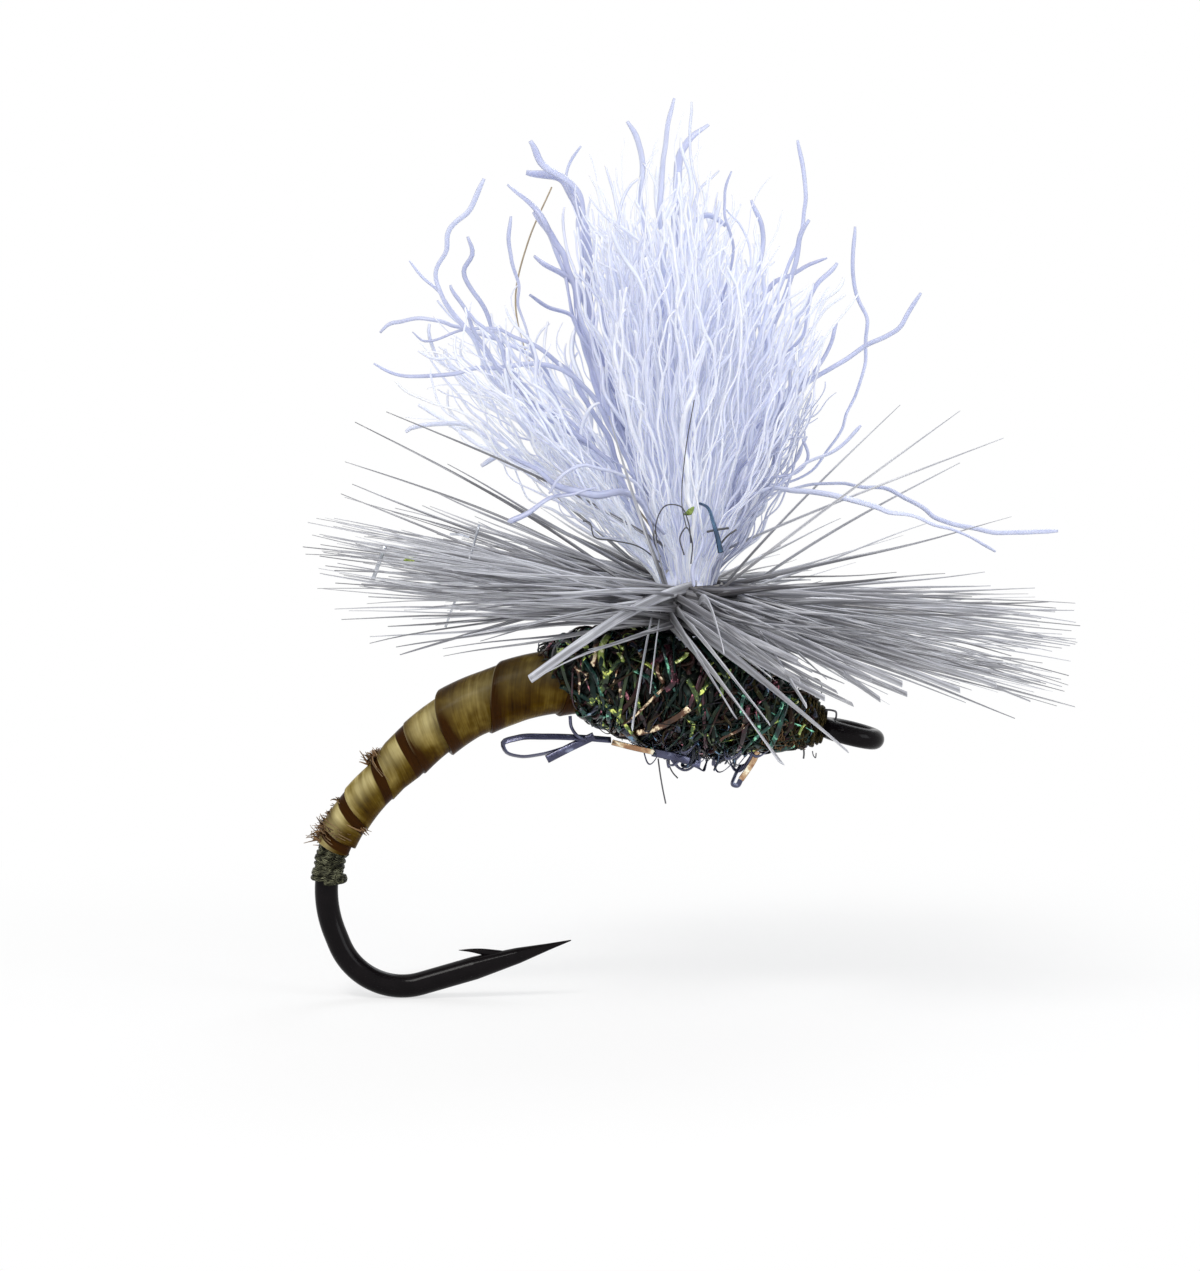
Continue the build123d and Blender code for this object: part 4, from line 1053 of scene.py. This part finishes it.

# barbs given one by one: the wide near ones that sweep over the thorax, then long ones that stand clear.
# Each has the side of the post that it leaves in degrees, its tip in mm, how far it bows upwards, its width
# and how pale it is
placedBarbs = [
    (206, (-1.7, -6.2, 0.1), 0.12, 0.31, 0.66), (212, (-0.4, -5.8, 0.3), 0.1, 0.29, 0.52),
    (202, (-4.6, -5.6, 0.7), 0.22, 0.18, 0.7), (215, (-1.9, -5.4, 0.78), 0.05, 0.16, 0.97),
    (204, (-6.6, -5.8, 1.7), 0.35, 0.23, 0.62), (285, (-2.83, -6.6, 2.31), 0.55, 0.18, 1.0),
    (214, (-4.25, -5.6, 1.4), 0.1, 0.11, 1.0), (205, (-2.6, -6.0, 1.0), 0.05, 0.28, 0.44),
    (225, (1.88, -5.0, 1.4), 0.12, 0.19, 0.75), (240, (3.35, -4.2, 1.1), 0.12, 0.15, 0.6),
    (255, (4.28, -3.8, 0.95), 0.1, 0.12, 0.3), (218, (0.1, -5.4, 1.66), 0.14, 0.2, 0.62),
    (225, (0.7, -5.6, 1.58), 0.14, 0.19, 0.66), (235, (2.6, -5.0, 1.5), 0.1, 0.18, 0.55),
    (210, (-1.2, -6.0, 1.2), 0.16, 0.2, 0.7), (222, (-0.6, -5.8, 1.45), 0.1, 0.18, 0.35),
    (208, (-1.3, -5.4, 1.62), 0.1, 0.17, 0.45), (214, (-1.05, -5.2, 1.78), 0.08, 0.15, 0.62),
    (220, (-1.6, -5.6, 1.82), 0.1, 0.18, 0.3), (226, (-0.75, -5.0, 1.62), 0.08, 0.15, 0.7),
    (232, (-1.35, -5.4, 2.02), 0.1, 0.17, 0.5), (212, (-1.9, -5.8, 1.75), 0.1, 0.18, 0.58),
    (238, (-0.4, -4.8, 1.72), 0.08, 0.16, 0.4), (204, (-0.9, -5.0, 1.45), 0.1, 0.15, 0.35),
    (216, (0.3, -5.0, 1.22), 0.0, 0.19, 0.5), (209, (-0.25, -5.2, 1.14), 0.0, 0.18, 0.3),
    (213, (-0.8, -5.2, 1.26), -0.04, 0.17, 0.62), (221, (0.85, -4.8, 1.3), 0.02, 0.17, 0.4),
    (196, (-9.2, -4.5, 2.06), 0.1, 0.1, 0.25), (172, (-9.59, -1.6, 6.77), 0.3, 0.07, 0.15),
    (158, (-10.4, 1.6, 6.43), 0.3, 0.07, 0.1), (186, (-10.39, -2.4, 5.79), 0.35, 0.065, 0.12),
    (318, (2.05, -2.4, 6.82), 0.05, 0.065, 0.95), (20, (1.11, 1.7, 6.79), 0.12, 0.06, 0.5),
    (326, (2.95, -2.2, 6.26), 0.1, 0.06, 0.9), (28, (2.4, 2.0, 5.55), 0.2, 0.065, 0.55),
    (246, (-5.05, -1.9, 6.7), -0.25, 0.13, 0.45), (238, (-4.4, -1.7, 5.6), -0.15, 0.12, 0.35),
    (176, (-11.45, 0.6, 3.86), 0.05, 0.065, 0.1), (8, (4.9, 1.2, 2.15), 0.05, 0.065, 0.1),
]


# Spots along the quill, which is wound up the post and starts at a turn of -0.5
def quillSpots(turn):
    height = post["wrapStart"] + hackle["quillFrom"] + post["pitch"] * turn
    return onPost(height, postRadius(height) + hackle["quillOut"], 2 * pi * turn)


# A barb is flat and stands on edge at its root; layer is the turn of the quill that it grows from
def barbPiece(name, layer, paths, width, tint, twist, flat):
    strandPiece(name, "hackle_barbs_turn_%d" % (layer + 1), paths, width, dunBarb, thick=width * flat,
                across=(0.05, 0.05, 1), sides=8, tint=tint, twist=twist)


# radians from the near side of the post, more than 0 towards the front
def fromNearSide(angle):
    return (angle % (2 * pi)) - 1.5 * pi


def makeHackle():
    turns = post["turns"]
    path = quillSpots(np.linspace(-0.5, turns - 0.5, 260))
    width, thick = hackle["quill"]
    strandPiece("hackleQuill", "hackle_quill", path, width, greyQuill, thick=thick, across=(0, 0, 1),
                sides=12, tint=0.5)
    chance = Chance(hackle["seed"], hackle["barbs"])
    even, about = chance.even, chance.about
    turn = np.linspace(-0.48, turns - 0.52, hackle["barbs"]) + about(0, 0.01)
    angle = 2 * pi * turn + about(0, 0.07)
    # on the near side the barbs part, and lie to the front and rear
    facing = fromNearSide(angle)
    parted = np.abs(facing) < hackle["parting"]
    least, most = hackle["pushed"]
    angle = np.where(parted, angle + np.sign(facing) * (least + (most - least) * even()), angle)
    spread = np.interp(np.cos(angle), [-1, 1], [hackle["spreadRear"], hackle["spreadFront"]])
    rise = about(0, 1) * spread + 3.0 * (turn / turns - 0.4)
    # those over the thorax don't dip far below the plane, but the near ones among them may droop
    rise = np.where(np.cos(angle) > 0.35, np.maximum(rise, -2.5 + 0.2 * rise), rise)
    facing = fromNearSide(angle)
    droop = np.where((facing > 0) & (facing < 1.0), even(0, hackle["droop"]) * (1.15 - facing), 0)
    rise = rise - droop + np.clip(-np.cos(angle) - 0.6, 0, 1) * even(0, hackle["rideUp"])
    stray = ~parted & (even() < hackle["strays"])
    sides = chance.source.choice([-1, 1], chance.count, p=[0.35, 0.65])
    rise = np.where(stray, sides * even(*hackle["strayRise"]), rise) - hackle["tilt"] * np.cos(angle)
    length = hackle["length"] * np.where(stray, even(0.75, 0.95), even(0.88, 1.03))
    short = even() < hackle["short"]
    length = np.where(short, length * even(0.45, 0.85), length)
    length = np.where(droop > 3, length * even(0.50, 0.72), length)
    # along the barbs: rows are stops and columns are barbs
    share = np.linspace(0, 1, 16)[:, None]
    bend = about(0.012, 0.030) * share ** 2 - 0.003 * np.sin(share * 9 + even(0, 6))
    reach = length * share
    way = angle + about(0, 0.05) * share
    rise = np.radians(rise)
    away = np.stack([reach * np.cos(way) * np.cos(rise), reach * np.sin(way) * np.cos(rise),
                     reach * np.sin(rise) - length * bend], -1)
    paths = (quillSpots(turn) + away).swapaxes(0, 1)
    root = hackle["root"] * even(0.6, 1.3)
    width = (root + (hackle["tip"] - root) * share ** 1.4).T
    layer = np.minimum((turn + 0.5).astype(int), turns - 1)
    tint = even() ** 1.25
    for i in range(turns):
        here = layer == i
        chance.count = here.sum()
        barbPiece("hackleBarbs%d" % (i + 1), i, paths[here], width[here], tint[here], about(0.5, 0.7), 0.5)
    chance.count = 1
    share = np.linspace(0, 1, 26)[:, None]
    for i, (leaves, tip, bow, width, pale) in enumerate(placedBarbs):
        root = quillSpots(leaves / 360 + min(i % turns, turns - 1.5))
        path = root + (np.array(tip) - root) * share + np.array([0, 0, bow]) * np.sin(pi * share ** 0.8)
        thinning = 0.25 if width > hackle["wide"] else 0.72
        width = width * (1 - thinning * share.T ** 2.4)
        barbPiece("placedBarb%d" % i, i % turns, path[None], width, pale, about(0.5, 0.3), 0.16)


makeHackle()

# bits of flash that lie in the hackle: kind, width and points
flashInHackle = [
    ("silver", 0.09, [(-9.90, -1.2, 3.30), (-9.78, -1.25, 3.62), (-9.64, -1.2, 4.00)]),
    ("glint", 0.15, [(-9.22, -1.5, 3.68), (-9.15, -1.5, 3.73), (-9.03, -1.5, 3.76)]),
    ("silver", 0.055, [(-7.72, -0.9, 4.42), (-7.95, -0.9, 3.6), (-8.2, -0.9, 2.9), (-8.42, -0.9, 2.3)]),
    ("silver", 0.08, [(-7.9, -1.6, 4.20), (-8.1, -1.6, 4.26), (-8.3, -1.6, 4.27)]),
]
for i, (kind, width, points) in enumerate(flashInHackle):
    strandPiece("flashInHackle%d" % i, "hackle_flash_bits", course(points, 20), width, films[kind],
                thick=0.014, across=(1, 0.4, 0), tint=0.3 + 0.1 * i)

print("wing")

wing = {
    "stops": 54,
    "width": 0.064,
    "kink": 0.42,  # mm between a fibre's changes of direction
    "buried": 0.55,  # length of a fibre inside the post
    "rootRadius": 0.54,
    "sideLean": 16,  # degrees by which the outermost bundles lean to the near and far sides
    # each lock: its node, how many bundles, lean of its rear and front edge in degrees, shortest fibre as
    # a share, how restless its fibres are and how their tips curl in degrees, and how they flare at their
    # roots and lean on further out
    "locks": {
        "Rear": ("wing_fibres_rear", 25, -46, -30, 0.48, 14, 26, 0.90, -0.10),
        "Middle": ("wing_fibres_middle", 108, -16, 8, 0.56, 11, 8, 0.70, 0.05),
        "Front": ("wing_fibres_front", 44, 9, 24, 0.52, 11, 8, 1.15, -0.85),
        "Edge": ("wing_fibres_front", 9, 25, 36, 0.50, 13, 8, 1.15, -0.80),
    },
    # outline of the wing: lean from upright, and reach from the top of the post
    "outline": [(-56, 6.9), (-50, 7.6), (-43, 8.0), (-36, 7.7), (-30, 7.2), (-25, 7.8), (-21, 8.6),
                (-15, 9.0), (-10, 9.5), (-5, 9.9), (-2, 9.9), (3, 9.0), (7, 7.9), (12, 7.4), (18, 7.2),
                (26, 6.8), (33, 5.9), (40, 5.3)],
    "perBundle": 5,
    "seed": 12,
}


# Wander of fibres: smooth random swings whose beats are one kink long, one row for each fibre
def wander(chance, distance, kink):
    count = len(distance)
    place = distance / kink + chance.source.uniform(0, 1, (count, 1))
    swings = chance.source.normal(0, 1, (count, int(place.max()) + 2))
    beat = place.astype(int)
    part = place - beat
    part = part * part * (3 - 2 * part)
    rows = np.arange(count)[:, None]
    return swings[rows, beat] * (1 - part) + swings[rows, beat + 1] * part


# Fibres in bundles that cling together: lean, side lean and reach are for each bundle
def yarnBundles(chance, lean, side, reach, restless, tipCurl, flare, further):
    share = np.linspace(0, 1, wing["stops"])
    distance = share * reach[:, None]
    bow = chance.about(0, 4.0)
    swing, swingSide = (wander(chance, distance, wing["kink"] * 1.6) * restless * 0.7 for _ in range(2))
    lean, side, reach, bow, swing, swingSide = (
        np.repeat(v, wing["perBundle"], axis=0) for v in (lean, side, reach, bow, swing, swingSide))
    chance.count = len(lean)
    lean = lean + chance.about(0, 2.4)
    side = side + chance.about(0, 2.6)
    reach = reach * chance.even(0.70, 1.0)
    lean, side, reach, bow = (v[:, None] for v in (lean, side, reach, bow))
    distance = share * reach
    # fibres leave the post nearly upright and have leant over a millimetre further on
    settled = 1 - np.exp(-distance / 0.55)
    own = restless * np.clip(distance / 1.5, 0.25, 1)
    lean = lean * (0.22 + flare * settled + further * share) + bow * (share - 0.4) * 2 + swing
    lean = lean + wander(chance, distance, wing["kink"]) * own
    side = side * (0.25 + 0.80 * settled) + swingSide + wander(chance, distance, wing["kink"]) * own
    curl = chance.about(tipCurl * 0.5, 12 + abs(tipCurl))[:, None]
    lean = np.radians(lean + curl * np.clip((share - 0.80) / 0.20, 0, 1))
    side = np.radians(side)
    moves = np.stack([np.sin(lean) * np.cos(side), np.sin(side), np.cos(lean) * np.cos(side)], -1)
    moves = moves * (reach / (wing["stops"] - 1))[..., None]
    return np.cumsum(moves, axis=1) - moves[:, :1]


def makeWing():
    chance = Chance(wing["seed"])
    even = chance.even
    outline = tuple(zip(*wing["outline"]))
    for lock, (node, bundles, rear, front, shortest, *habits) in wing["locks"].items():
        chance.count = bundles
        lean = rear + (front - rear) * (np.arange(bundles) + even()) / bundles
        side = even(-1, 1)
        reach = np.interp(lean, *outline) * (shortest + (1 - shortest) * even() ** 0.5)
        paths = yarnBundles(chance, lean, wing["sideLean"] * side, reach + wing["buried"], *habits)
        lean, side = (np.repeat(v, wing["perBundle"]) for v in (lean, side))
        rootX = wing["rootRadius"] * np.clip(lean / 36, -1, 1) + 0.06 * even(-0.9, 0.9)
        rootY = wing["rootRadius"] * side * np.sqrt(np.clip(1 - (lean / 50) ** 2, 0.04, 1))
        paths = paths + (np.stack([rootX, rootY, even(-0.80, -0.52)], -1) + postTop)[:, None]
        width = wing["width"] * (0.7 + 1.1 * even() ** 3)[:, None]
        width = width * np.interp(np.linspace(0, 1, wing["stops"]), [0, 0.97, 1], [1, 1, 0.7])
        yarn = shadedYarn if lock == "Edge" else whiteYarn
        strandPiece("wingYarn" + lock, node, paths, width, yarn, thick=width * 0.5, sides=4, tint=even(),
                    across=(0.3, 1, 0.1), twist=chance.about(0, 2.5))


makeWing()

# fibres that shape the wing's outline, from rear to front: their outer points from the top of the post as
# (forwards, up), how near or far they lie, and width
outerYarn = [
    ([(-3.0, 3.95), (-4.3, 3.85), (-5.6, 3.75), (-6.15, 3.8), (-6.5, 4.0)], -0.6, 0.1),
    ([(-3.75, 4.6), (-4.6, 4.7), (-5.45, 4.45), (-5.75, 4.55)], 0.5, 0.1),
    ([(-3.9, 4.4), (-4.85, 4.7), (-5.7, 4.95), (-6.2, 4.82), (-6.45, 4.55)], 1.3, 0.15),
    ([(-4.0, 4.0), (-4.75, 4.9), (-5.15, 5.45), (-5.5, 5.75), (-5.75, 6.1)], 0.2, 0.1),
    ([(-4.35, 4.3), (-5.15, 5.7), (-5.0, 6.45), (-4.5, 7.2), (-4.2, 7.8)], -0.8, 0.12),
    ([(-3.9, 4.4), (-4.35, 5.3), (-4.65, 5.95), (-4.5, 6.25), (-4.6, 6.6)], 0.9, 0.1),
    ([(-3.3, 4.5), (-3.6, 5.7), (-3.7, 6.3), (-3.65, 7.0)], 0.4, 0.09),
    ([(-2.3, 4.6), (-2.7, 6.2), (-3.25, 7.25), (-3.75, 7.7)], 1.9, 0.13),
    ([(-2.2, 5.0), (-2.5, 7.75), (-2.9, 8.0), (-3.3, 8.6)], 1.2, 0.15),
    ([(-2.0, 5.0), (-2.3, 7.2), (-2.65, 7.75), (-3.35, 7.95)], 1.7, 0.2),
    ([(-2.2, 4.6), (-2.6, 6.3), (-3.2, 7.1)], 1.9, 0.19),
    ([(-1.9, 4.2), (-2.3, 5.5), (-3.2, 6.2)], 1.8, 0.18),
    ([(-1.9, 3.9), (-2.4, 4.9), (-3.3, 5.35)], 1.0, 0.13),
    ([(-1.9, 5.4), (-2.4, 7.5), (-2.5, 8.1), (-2.2, 8.5)], 1.5, 0.12),
    ([(-0.9, 5.3), (-0.95, 7.6), (-1.0, 8.5), (-1.3, 8.9)], -0.3, 0.12),
    ([(-0.5, 5.3), (-0.55, 7.6), (-0.45, 8.9), (-0.3, 9.4)], -0.9, 0.11),
    ([(-0.3, 5.3), (-0.2, 7.4), (-0.1, 8.4), (0.48, 8.95)], 1.3, 0.18),
    ([(0.25, 5.2), (0.1, 6.9), (0.45, 7.1), (0.8, 6.85)], 1.2, 0.14),
    ([(0.6, 4.8), (0.95, 6.4), (0.72, 7.5), (0.9, 7.95)], -0.5, 0.09),
    ([(1.0, 4.3), (1.45, 6.0), (1.5, 6.85), (1.34, 7.35)], 0.2, 0.1),
    ([(1.4, 4.4), (2.1, 5.9), (2.45, 7.0), (2.42, 7.6), (2.28, 8.55)], 0.9, 0.1),
    ([(1.4, 4.0), (2.2, 5.9), (2.35, 6.6), (2.5, 6.95)], -0.5, 0.11),
    ([(1.3, 4.5), (1.9, 5.75), (2.4, 5.95), (2.95, 6.15)], 1.2, 0.15),
    ([(1.5, 3.3), (2.2, 4.6), (2.6, 5.4), (3.1, 6.0)], 0.4, 0.11),
    ([(1.6, 2.6), (2.6, 3.7), (2.95, 4.2), (3.2, 4.8)], 1.5, 0.18),
    ([(1.6, 2.9), (2.8, 3.8), (3.8, 4.45), (4.5, 4.95), (4.75, 5.45)], -0.8, 0.1),
    ([(0.9, 1.2), (2.5, 1.6), (3.3, 2.75), (3.8, 4.0), (3.8, 4.8), (3.5, 5.7), (3.5, 6.85)], 1.5, 0.085),
    ([(1.3, 2.0), (1.9, 3.2), (1.85, 3.9), (2.3, 4.6), (2.5, 5.2)], -1.1, 0.1),
    ([(-1.7, 2.0), (-2.9, 3.1), (-3.5, 3.6), (-3.9, 4.5), (-4.6, 5.1)], -1.2, 0.1),
    ([(-1.4, 1.9), (-2.4, 2.5), (-3.4, 3.3), (-4.3, 4.5), (-4.9, 5.6)], -0.9, 0.09),
]

# fibres that have come loose low down: points from the top of the post, and width
looseYarn = [
    ([(0.3, -0.55, 0.0), (1.0, -0.9, 1.1), (1.75, -1.0, 1.45), (2.8, -1.2, 1.35), (4.6, -1.4, 0.85),
      (5.6, -1.5, 0.55), (6.3, -1.5, 0.12)], 0.12),
    ([(0.6, 0.1, 0.0), (1.4, 0.3, 1.1), (2.9, 0.4, 1.45), (4.6, 0.5, 1.2), (5.4, 0.55, 0.62),
      (6.3, 0.6, 0.45), (7.8, 0.7, 0.4)], 0.1),
    ([(-0.5, -0.9, 0.5), (-1.35, -1.3, 1.42), (-2.0, -1.5, 1.36), (-2.6, -1.55, 1.5), (-3.1, -1.6, 1.85),
      (-3.68, -1.6, 2.2)], 0.16),
    ([(-1.9, -1.5, 1.48), (-2.75, -1.55, 1.3), (-3.35, -1.6, 1.0), (-3.7, -1.6, 0.78)], 0.13),
    ([(-0.5, -0.8, 0.5), (-1.3, -1.4, 1.72), (-2.0, -1.6, 1.95), (-2.6, -1.7, 1.72),
      (-2.9, -1.7, 1.42)], 0.075),
    ([(0.5, -0.5, 0.2), (1.2, -0.8, 1.35), (1.75, -0.9, 1.65), (2.15, -0.9, 1.78), (2.42, -0.9, 2.15),
      (2.28, -0.9, 2.45)], 0.075),
    ([(0.6, -0.5, 0.2), (1.5, -0.9, 1.15), (2.4, -1.0, 1.95), (3.1, -1.0, 2.3), (3.5, -1.0, 2.75)], 0.08),
    ([(0.2, -0.9, 0.7), (0.25, -1.2, 0.2), (0.1, -1.4, -0.25), (0.13, -1.5, -0.55)], 0.08),
]


def makeLooseYarn():
    chance = Chance(wing["seed"] + 1, 1)
    rows = []
    for points, depth, width in outerYarn:
        # a fibre leaves the post towards its first outer point, and nears its full depth on the way out
        firstX, firstZ = points[0]
        path = [(0.45 * firstX / max(firstZ, 1.0), depth * 0.25, -0.3)]
        path += [(x, depth * min(1, 0.45 + 0.12 * i + 0.05 * z), z) for i, (x, z) in enumerate(points)]
        rows.append((path, width))
    share = np.linspace(0, 1, 90)
    for i, (points, width) in enumerate(rows + looseYarn):
        path = course(points, 90)
        length = np.linalg.norm(np.diff(path, axis=0), axis=1).sum()
        swings = np.stack([wander(chance, share[None] * length, 0.5)[0] for _ in range(3)], -1)
        path = path + postTop + swings * 0.035 * np.clip(share * 4, 0, 1)[:, None]
        width = width * np.interp(share, [0, 0.3, 0.97, 1], [0.7, 1, 1, 0.6])
        strandPiece("looseYarn%d" % i, "wing_stray_fibres", path, width, shadedYarn, thick=width * 0.5,
                    tint=chance.even(0, 0.45), twist=chance.about(0, 3))


makeLooseYarn()


def tanFinish():
    f = Finish("tanGuardHair")
    return f.surface(f.mix(f.noise(3.0), (0.26, 0.19, 0.11), (0.52, 0.43, 0.30)), 0.4, coat=0.3)


# things caught in the wing, with points from the top of the post
def makeCaughtBits():
    hair = [(-0.42, 0.45, 0.1), (-2.0, 1.3, 2.2), (-3.3, 2.0, 3.9), (-3.62, 2.4, 5.3), (-3.35, 2.55, 6.5),
            (-2.85, 2.6, 7.65)]
    strandPiece("tanGuardHair", "tan_guard_fibre", course(hair, 60) + postTop, np.linspace(0.05, 0.035, 60),
                tanFinish(), sides=8)
    strip = [(0.66, -1.0, 0.12), (0.60, -1.06, 0.4), (0.50, -1.1, 0.75), (0.36, -1.12, 1.08),
             (0.2, -1.12, 1.15)]
    strandPiece("postFlash", "post_flash", course(strip, 40) + postTop, np.linspace(0.12, 0.05, 40),
                films["sky"], thick=0.018, across=(1, 0, 0.3), tint=0.8)
    glint = [(-0.10, -1.15, 0.92), (0.02, -1.2, 0.98), (0.10, -1.2, 1.08)]
    width = np.interp(np.linspace(0, 1, 20), [0, 0.5, 1], [0.04, 0.15, 0.04])
    strandPiece("postGlint", "post_flash", course(glint, 20) + postTop, width, films["glint"], thick=0.03,
                across=(0, 0.2, 1), sides=8, tint=0.55)


makeCaughtBits()

print("stage")

studio = {
    # name, where from the middle in mm, size in mm, share of a plain white surface's light, colour
    "lights": [
        ("keyLight", (-35, -60, 85), 34, 0.45, (1.0, 0.985, 0.96)),
        ("fillLight", (75, -55, 30), 50, 0.30, (0.94, 0.97, 1.0)),
        ("rimLight", (25, 70, 60), 45, 0.22, (0.92, 0.97, 1.0)),
    ],
    "surround": 0.58,
    "cameraDistance": 95.0,
    "cameraRise": 5.0,
    "sensor": 36,
    "middle": (-5.23, 0.0, 2.05),  # what the camera looks at
    "viewWidth": 25.0,
    "floorReach": 350,
    # mm from the middle over which the floor's shading fades into plain white
    "shadowFrom": 9.0,
    "shadowTo": 26.0,
    "floorGlow": 0.62,
}
studioMiddle = Vector(studio["middle"]) * mm


# 1 for what is looked at, also in a reflection or through glass, and 0 for what only gives light
def lookedAt(f):
    seen = None
    for ray in ("Is Camera Ray", "Is Glossy Ray", "Is Transmission Ray"):
        link = f.node("LightPath", output=ray)
        seen = link.maths("MAXIMUM", seen) if seen else link
    return seen


# White floor that keeps the object's shadow near it and runs into the white surround further off
def makeFloor():
    f = Finish("studioFloor")
    back = (-studioMiddle.x, -studioMiddle.y, 0)
    spot = f.node("VectorMath", {"operation": "ADD"}, {0: f.place(), 1: back})
    away = f.node("VectorMath", {"operation": "LENGTH"}, {0: spot}, "Value")
    near, far = studio["shadowFrom"] * mm, studio["shadowTo"] * mm
    clear = f.between(away, near, far, studio["floorGlow"], 1.0, smooth=True)
    white = f.mix(f.noise(0.15), (0.90, 0.90, 0.905), (0.94, 0.94, 0.945))
    plain = f.node("BsdfDiffuse", None, {"Color": white})
    glow = f.node("Emission", None, {"Color": (1, 1, 1, 1), "Strength": 1.0})
    f.show(f.node("MixShader", None, {0: lookedAt(f) * clear, 1: plain, 2: glow}))
    size, low = studio["floorReach"] * mm, cadBox[0][2]
    corners = [(-size, -size, low), (size, -size, low), (size, size, low), (-size, size, low)]
    mesh = bpy.data.meshes.new("floor")
    mesh.from_pydata(corners, [], [(0, 1, 2, 3)])
    mesh.materials.append(f.owner)
    addObject("floor", mesh)


makeFloor()


def makeLights():
    f = Finish("studio", "worlds")
    strength = f.between(lookedAt(f), 0.0, 1.0, studio["surround"], 1.0)
    f.show(f.node("Background", None, {"Color": (1, 1, 1, 1), "Strength": strength}), "OutputWorld")
    bpy.context.scene.world = f.owner
    for name, place, size, strength, colour in studio["lights"]:
        spot = Vector(place) * mm
        light = bpy.data.lights.new(name, "AREA")
        light.shape = "SQUARE"
        light.size = size * mm
        light.color = colour
        light.energy = strength * pi * pi * spot.length_squared
        lamp = addObject(name, light)
        lamp.location = studioMiddle + spot
        lamp.rotation_euler = (-spot).to_track_quat("-Z", "Y").to_euler()


makeLights()


def makeCamera():
    rise = math.radians(studio["cameraRise"])
    away = Vector((0, -math.cos(rise), math.sin(rise))) * studio["cameraDistance"] * mm
    camera = bpy.data.cameras.new("camera")
    camera.sensor_fit = "HORIZONTAL"
    camera.sensor_width = studio["sensor"]
    camera.lens = studio["sensor"] * studio["cameraDistance"] / studio["viewWidth"]
    camera.clip_start = 0.001
    camera.clip_end = 10
    eye = addObject("camera", camera)
    eye.location = studioMiddle + away
    eye.rotation_euler = (-away).to_track_quat("-Z", "Y").to_euler()
    bpy.context.scene.camera = eye


makeCamera()
bpy.context.scene.view_settings.view_transform = "Standard"
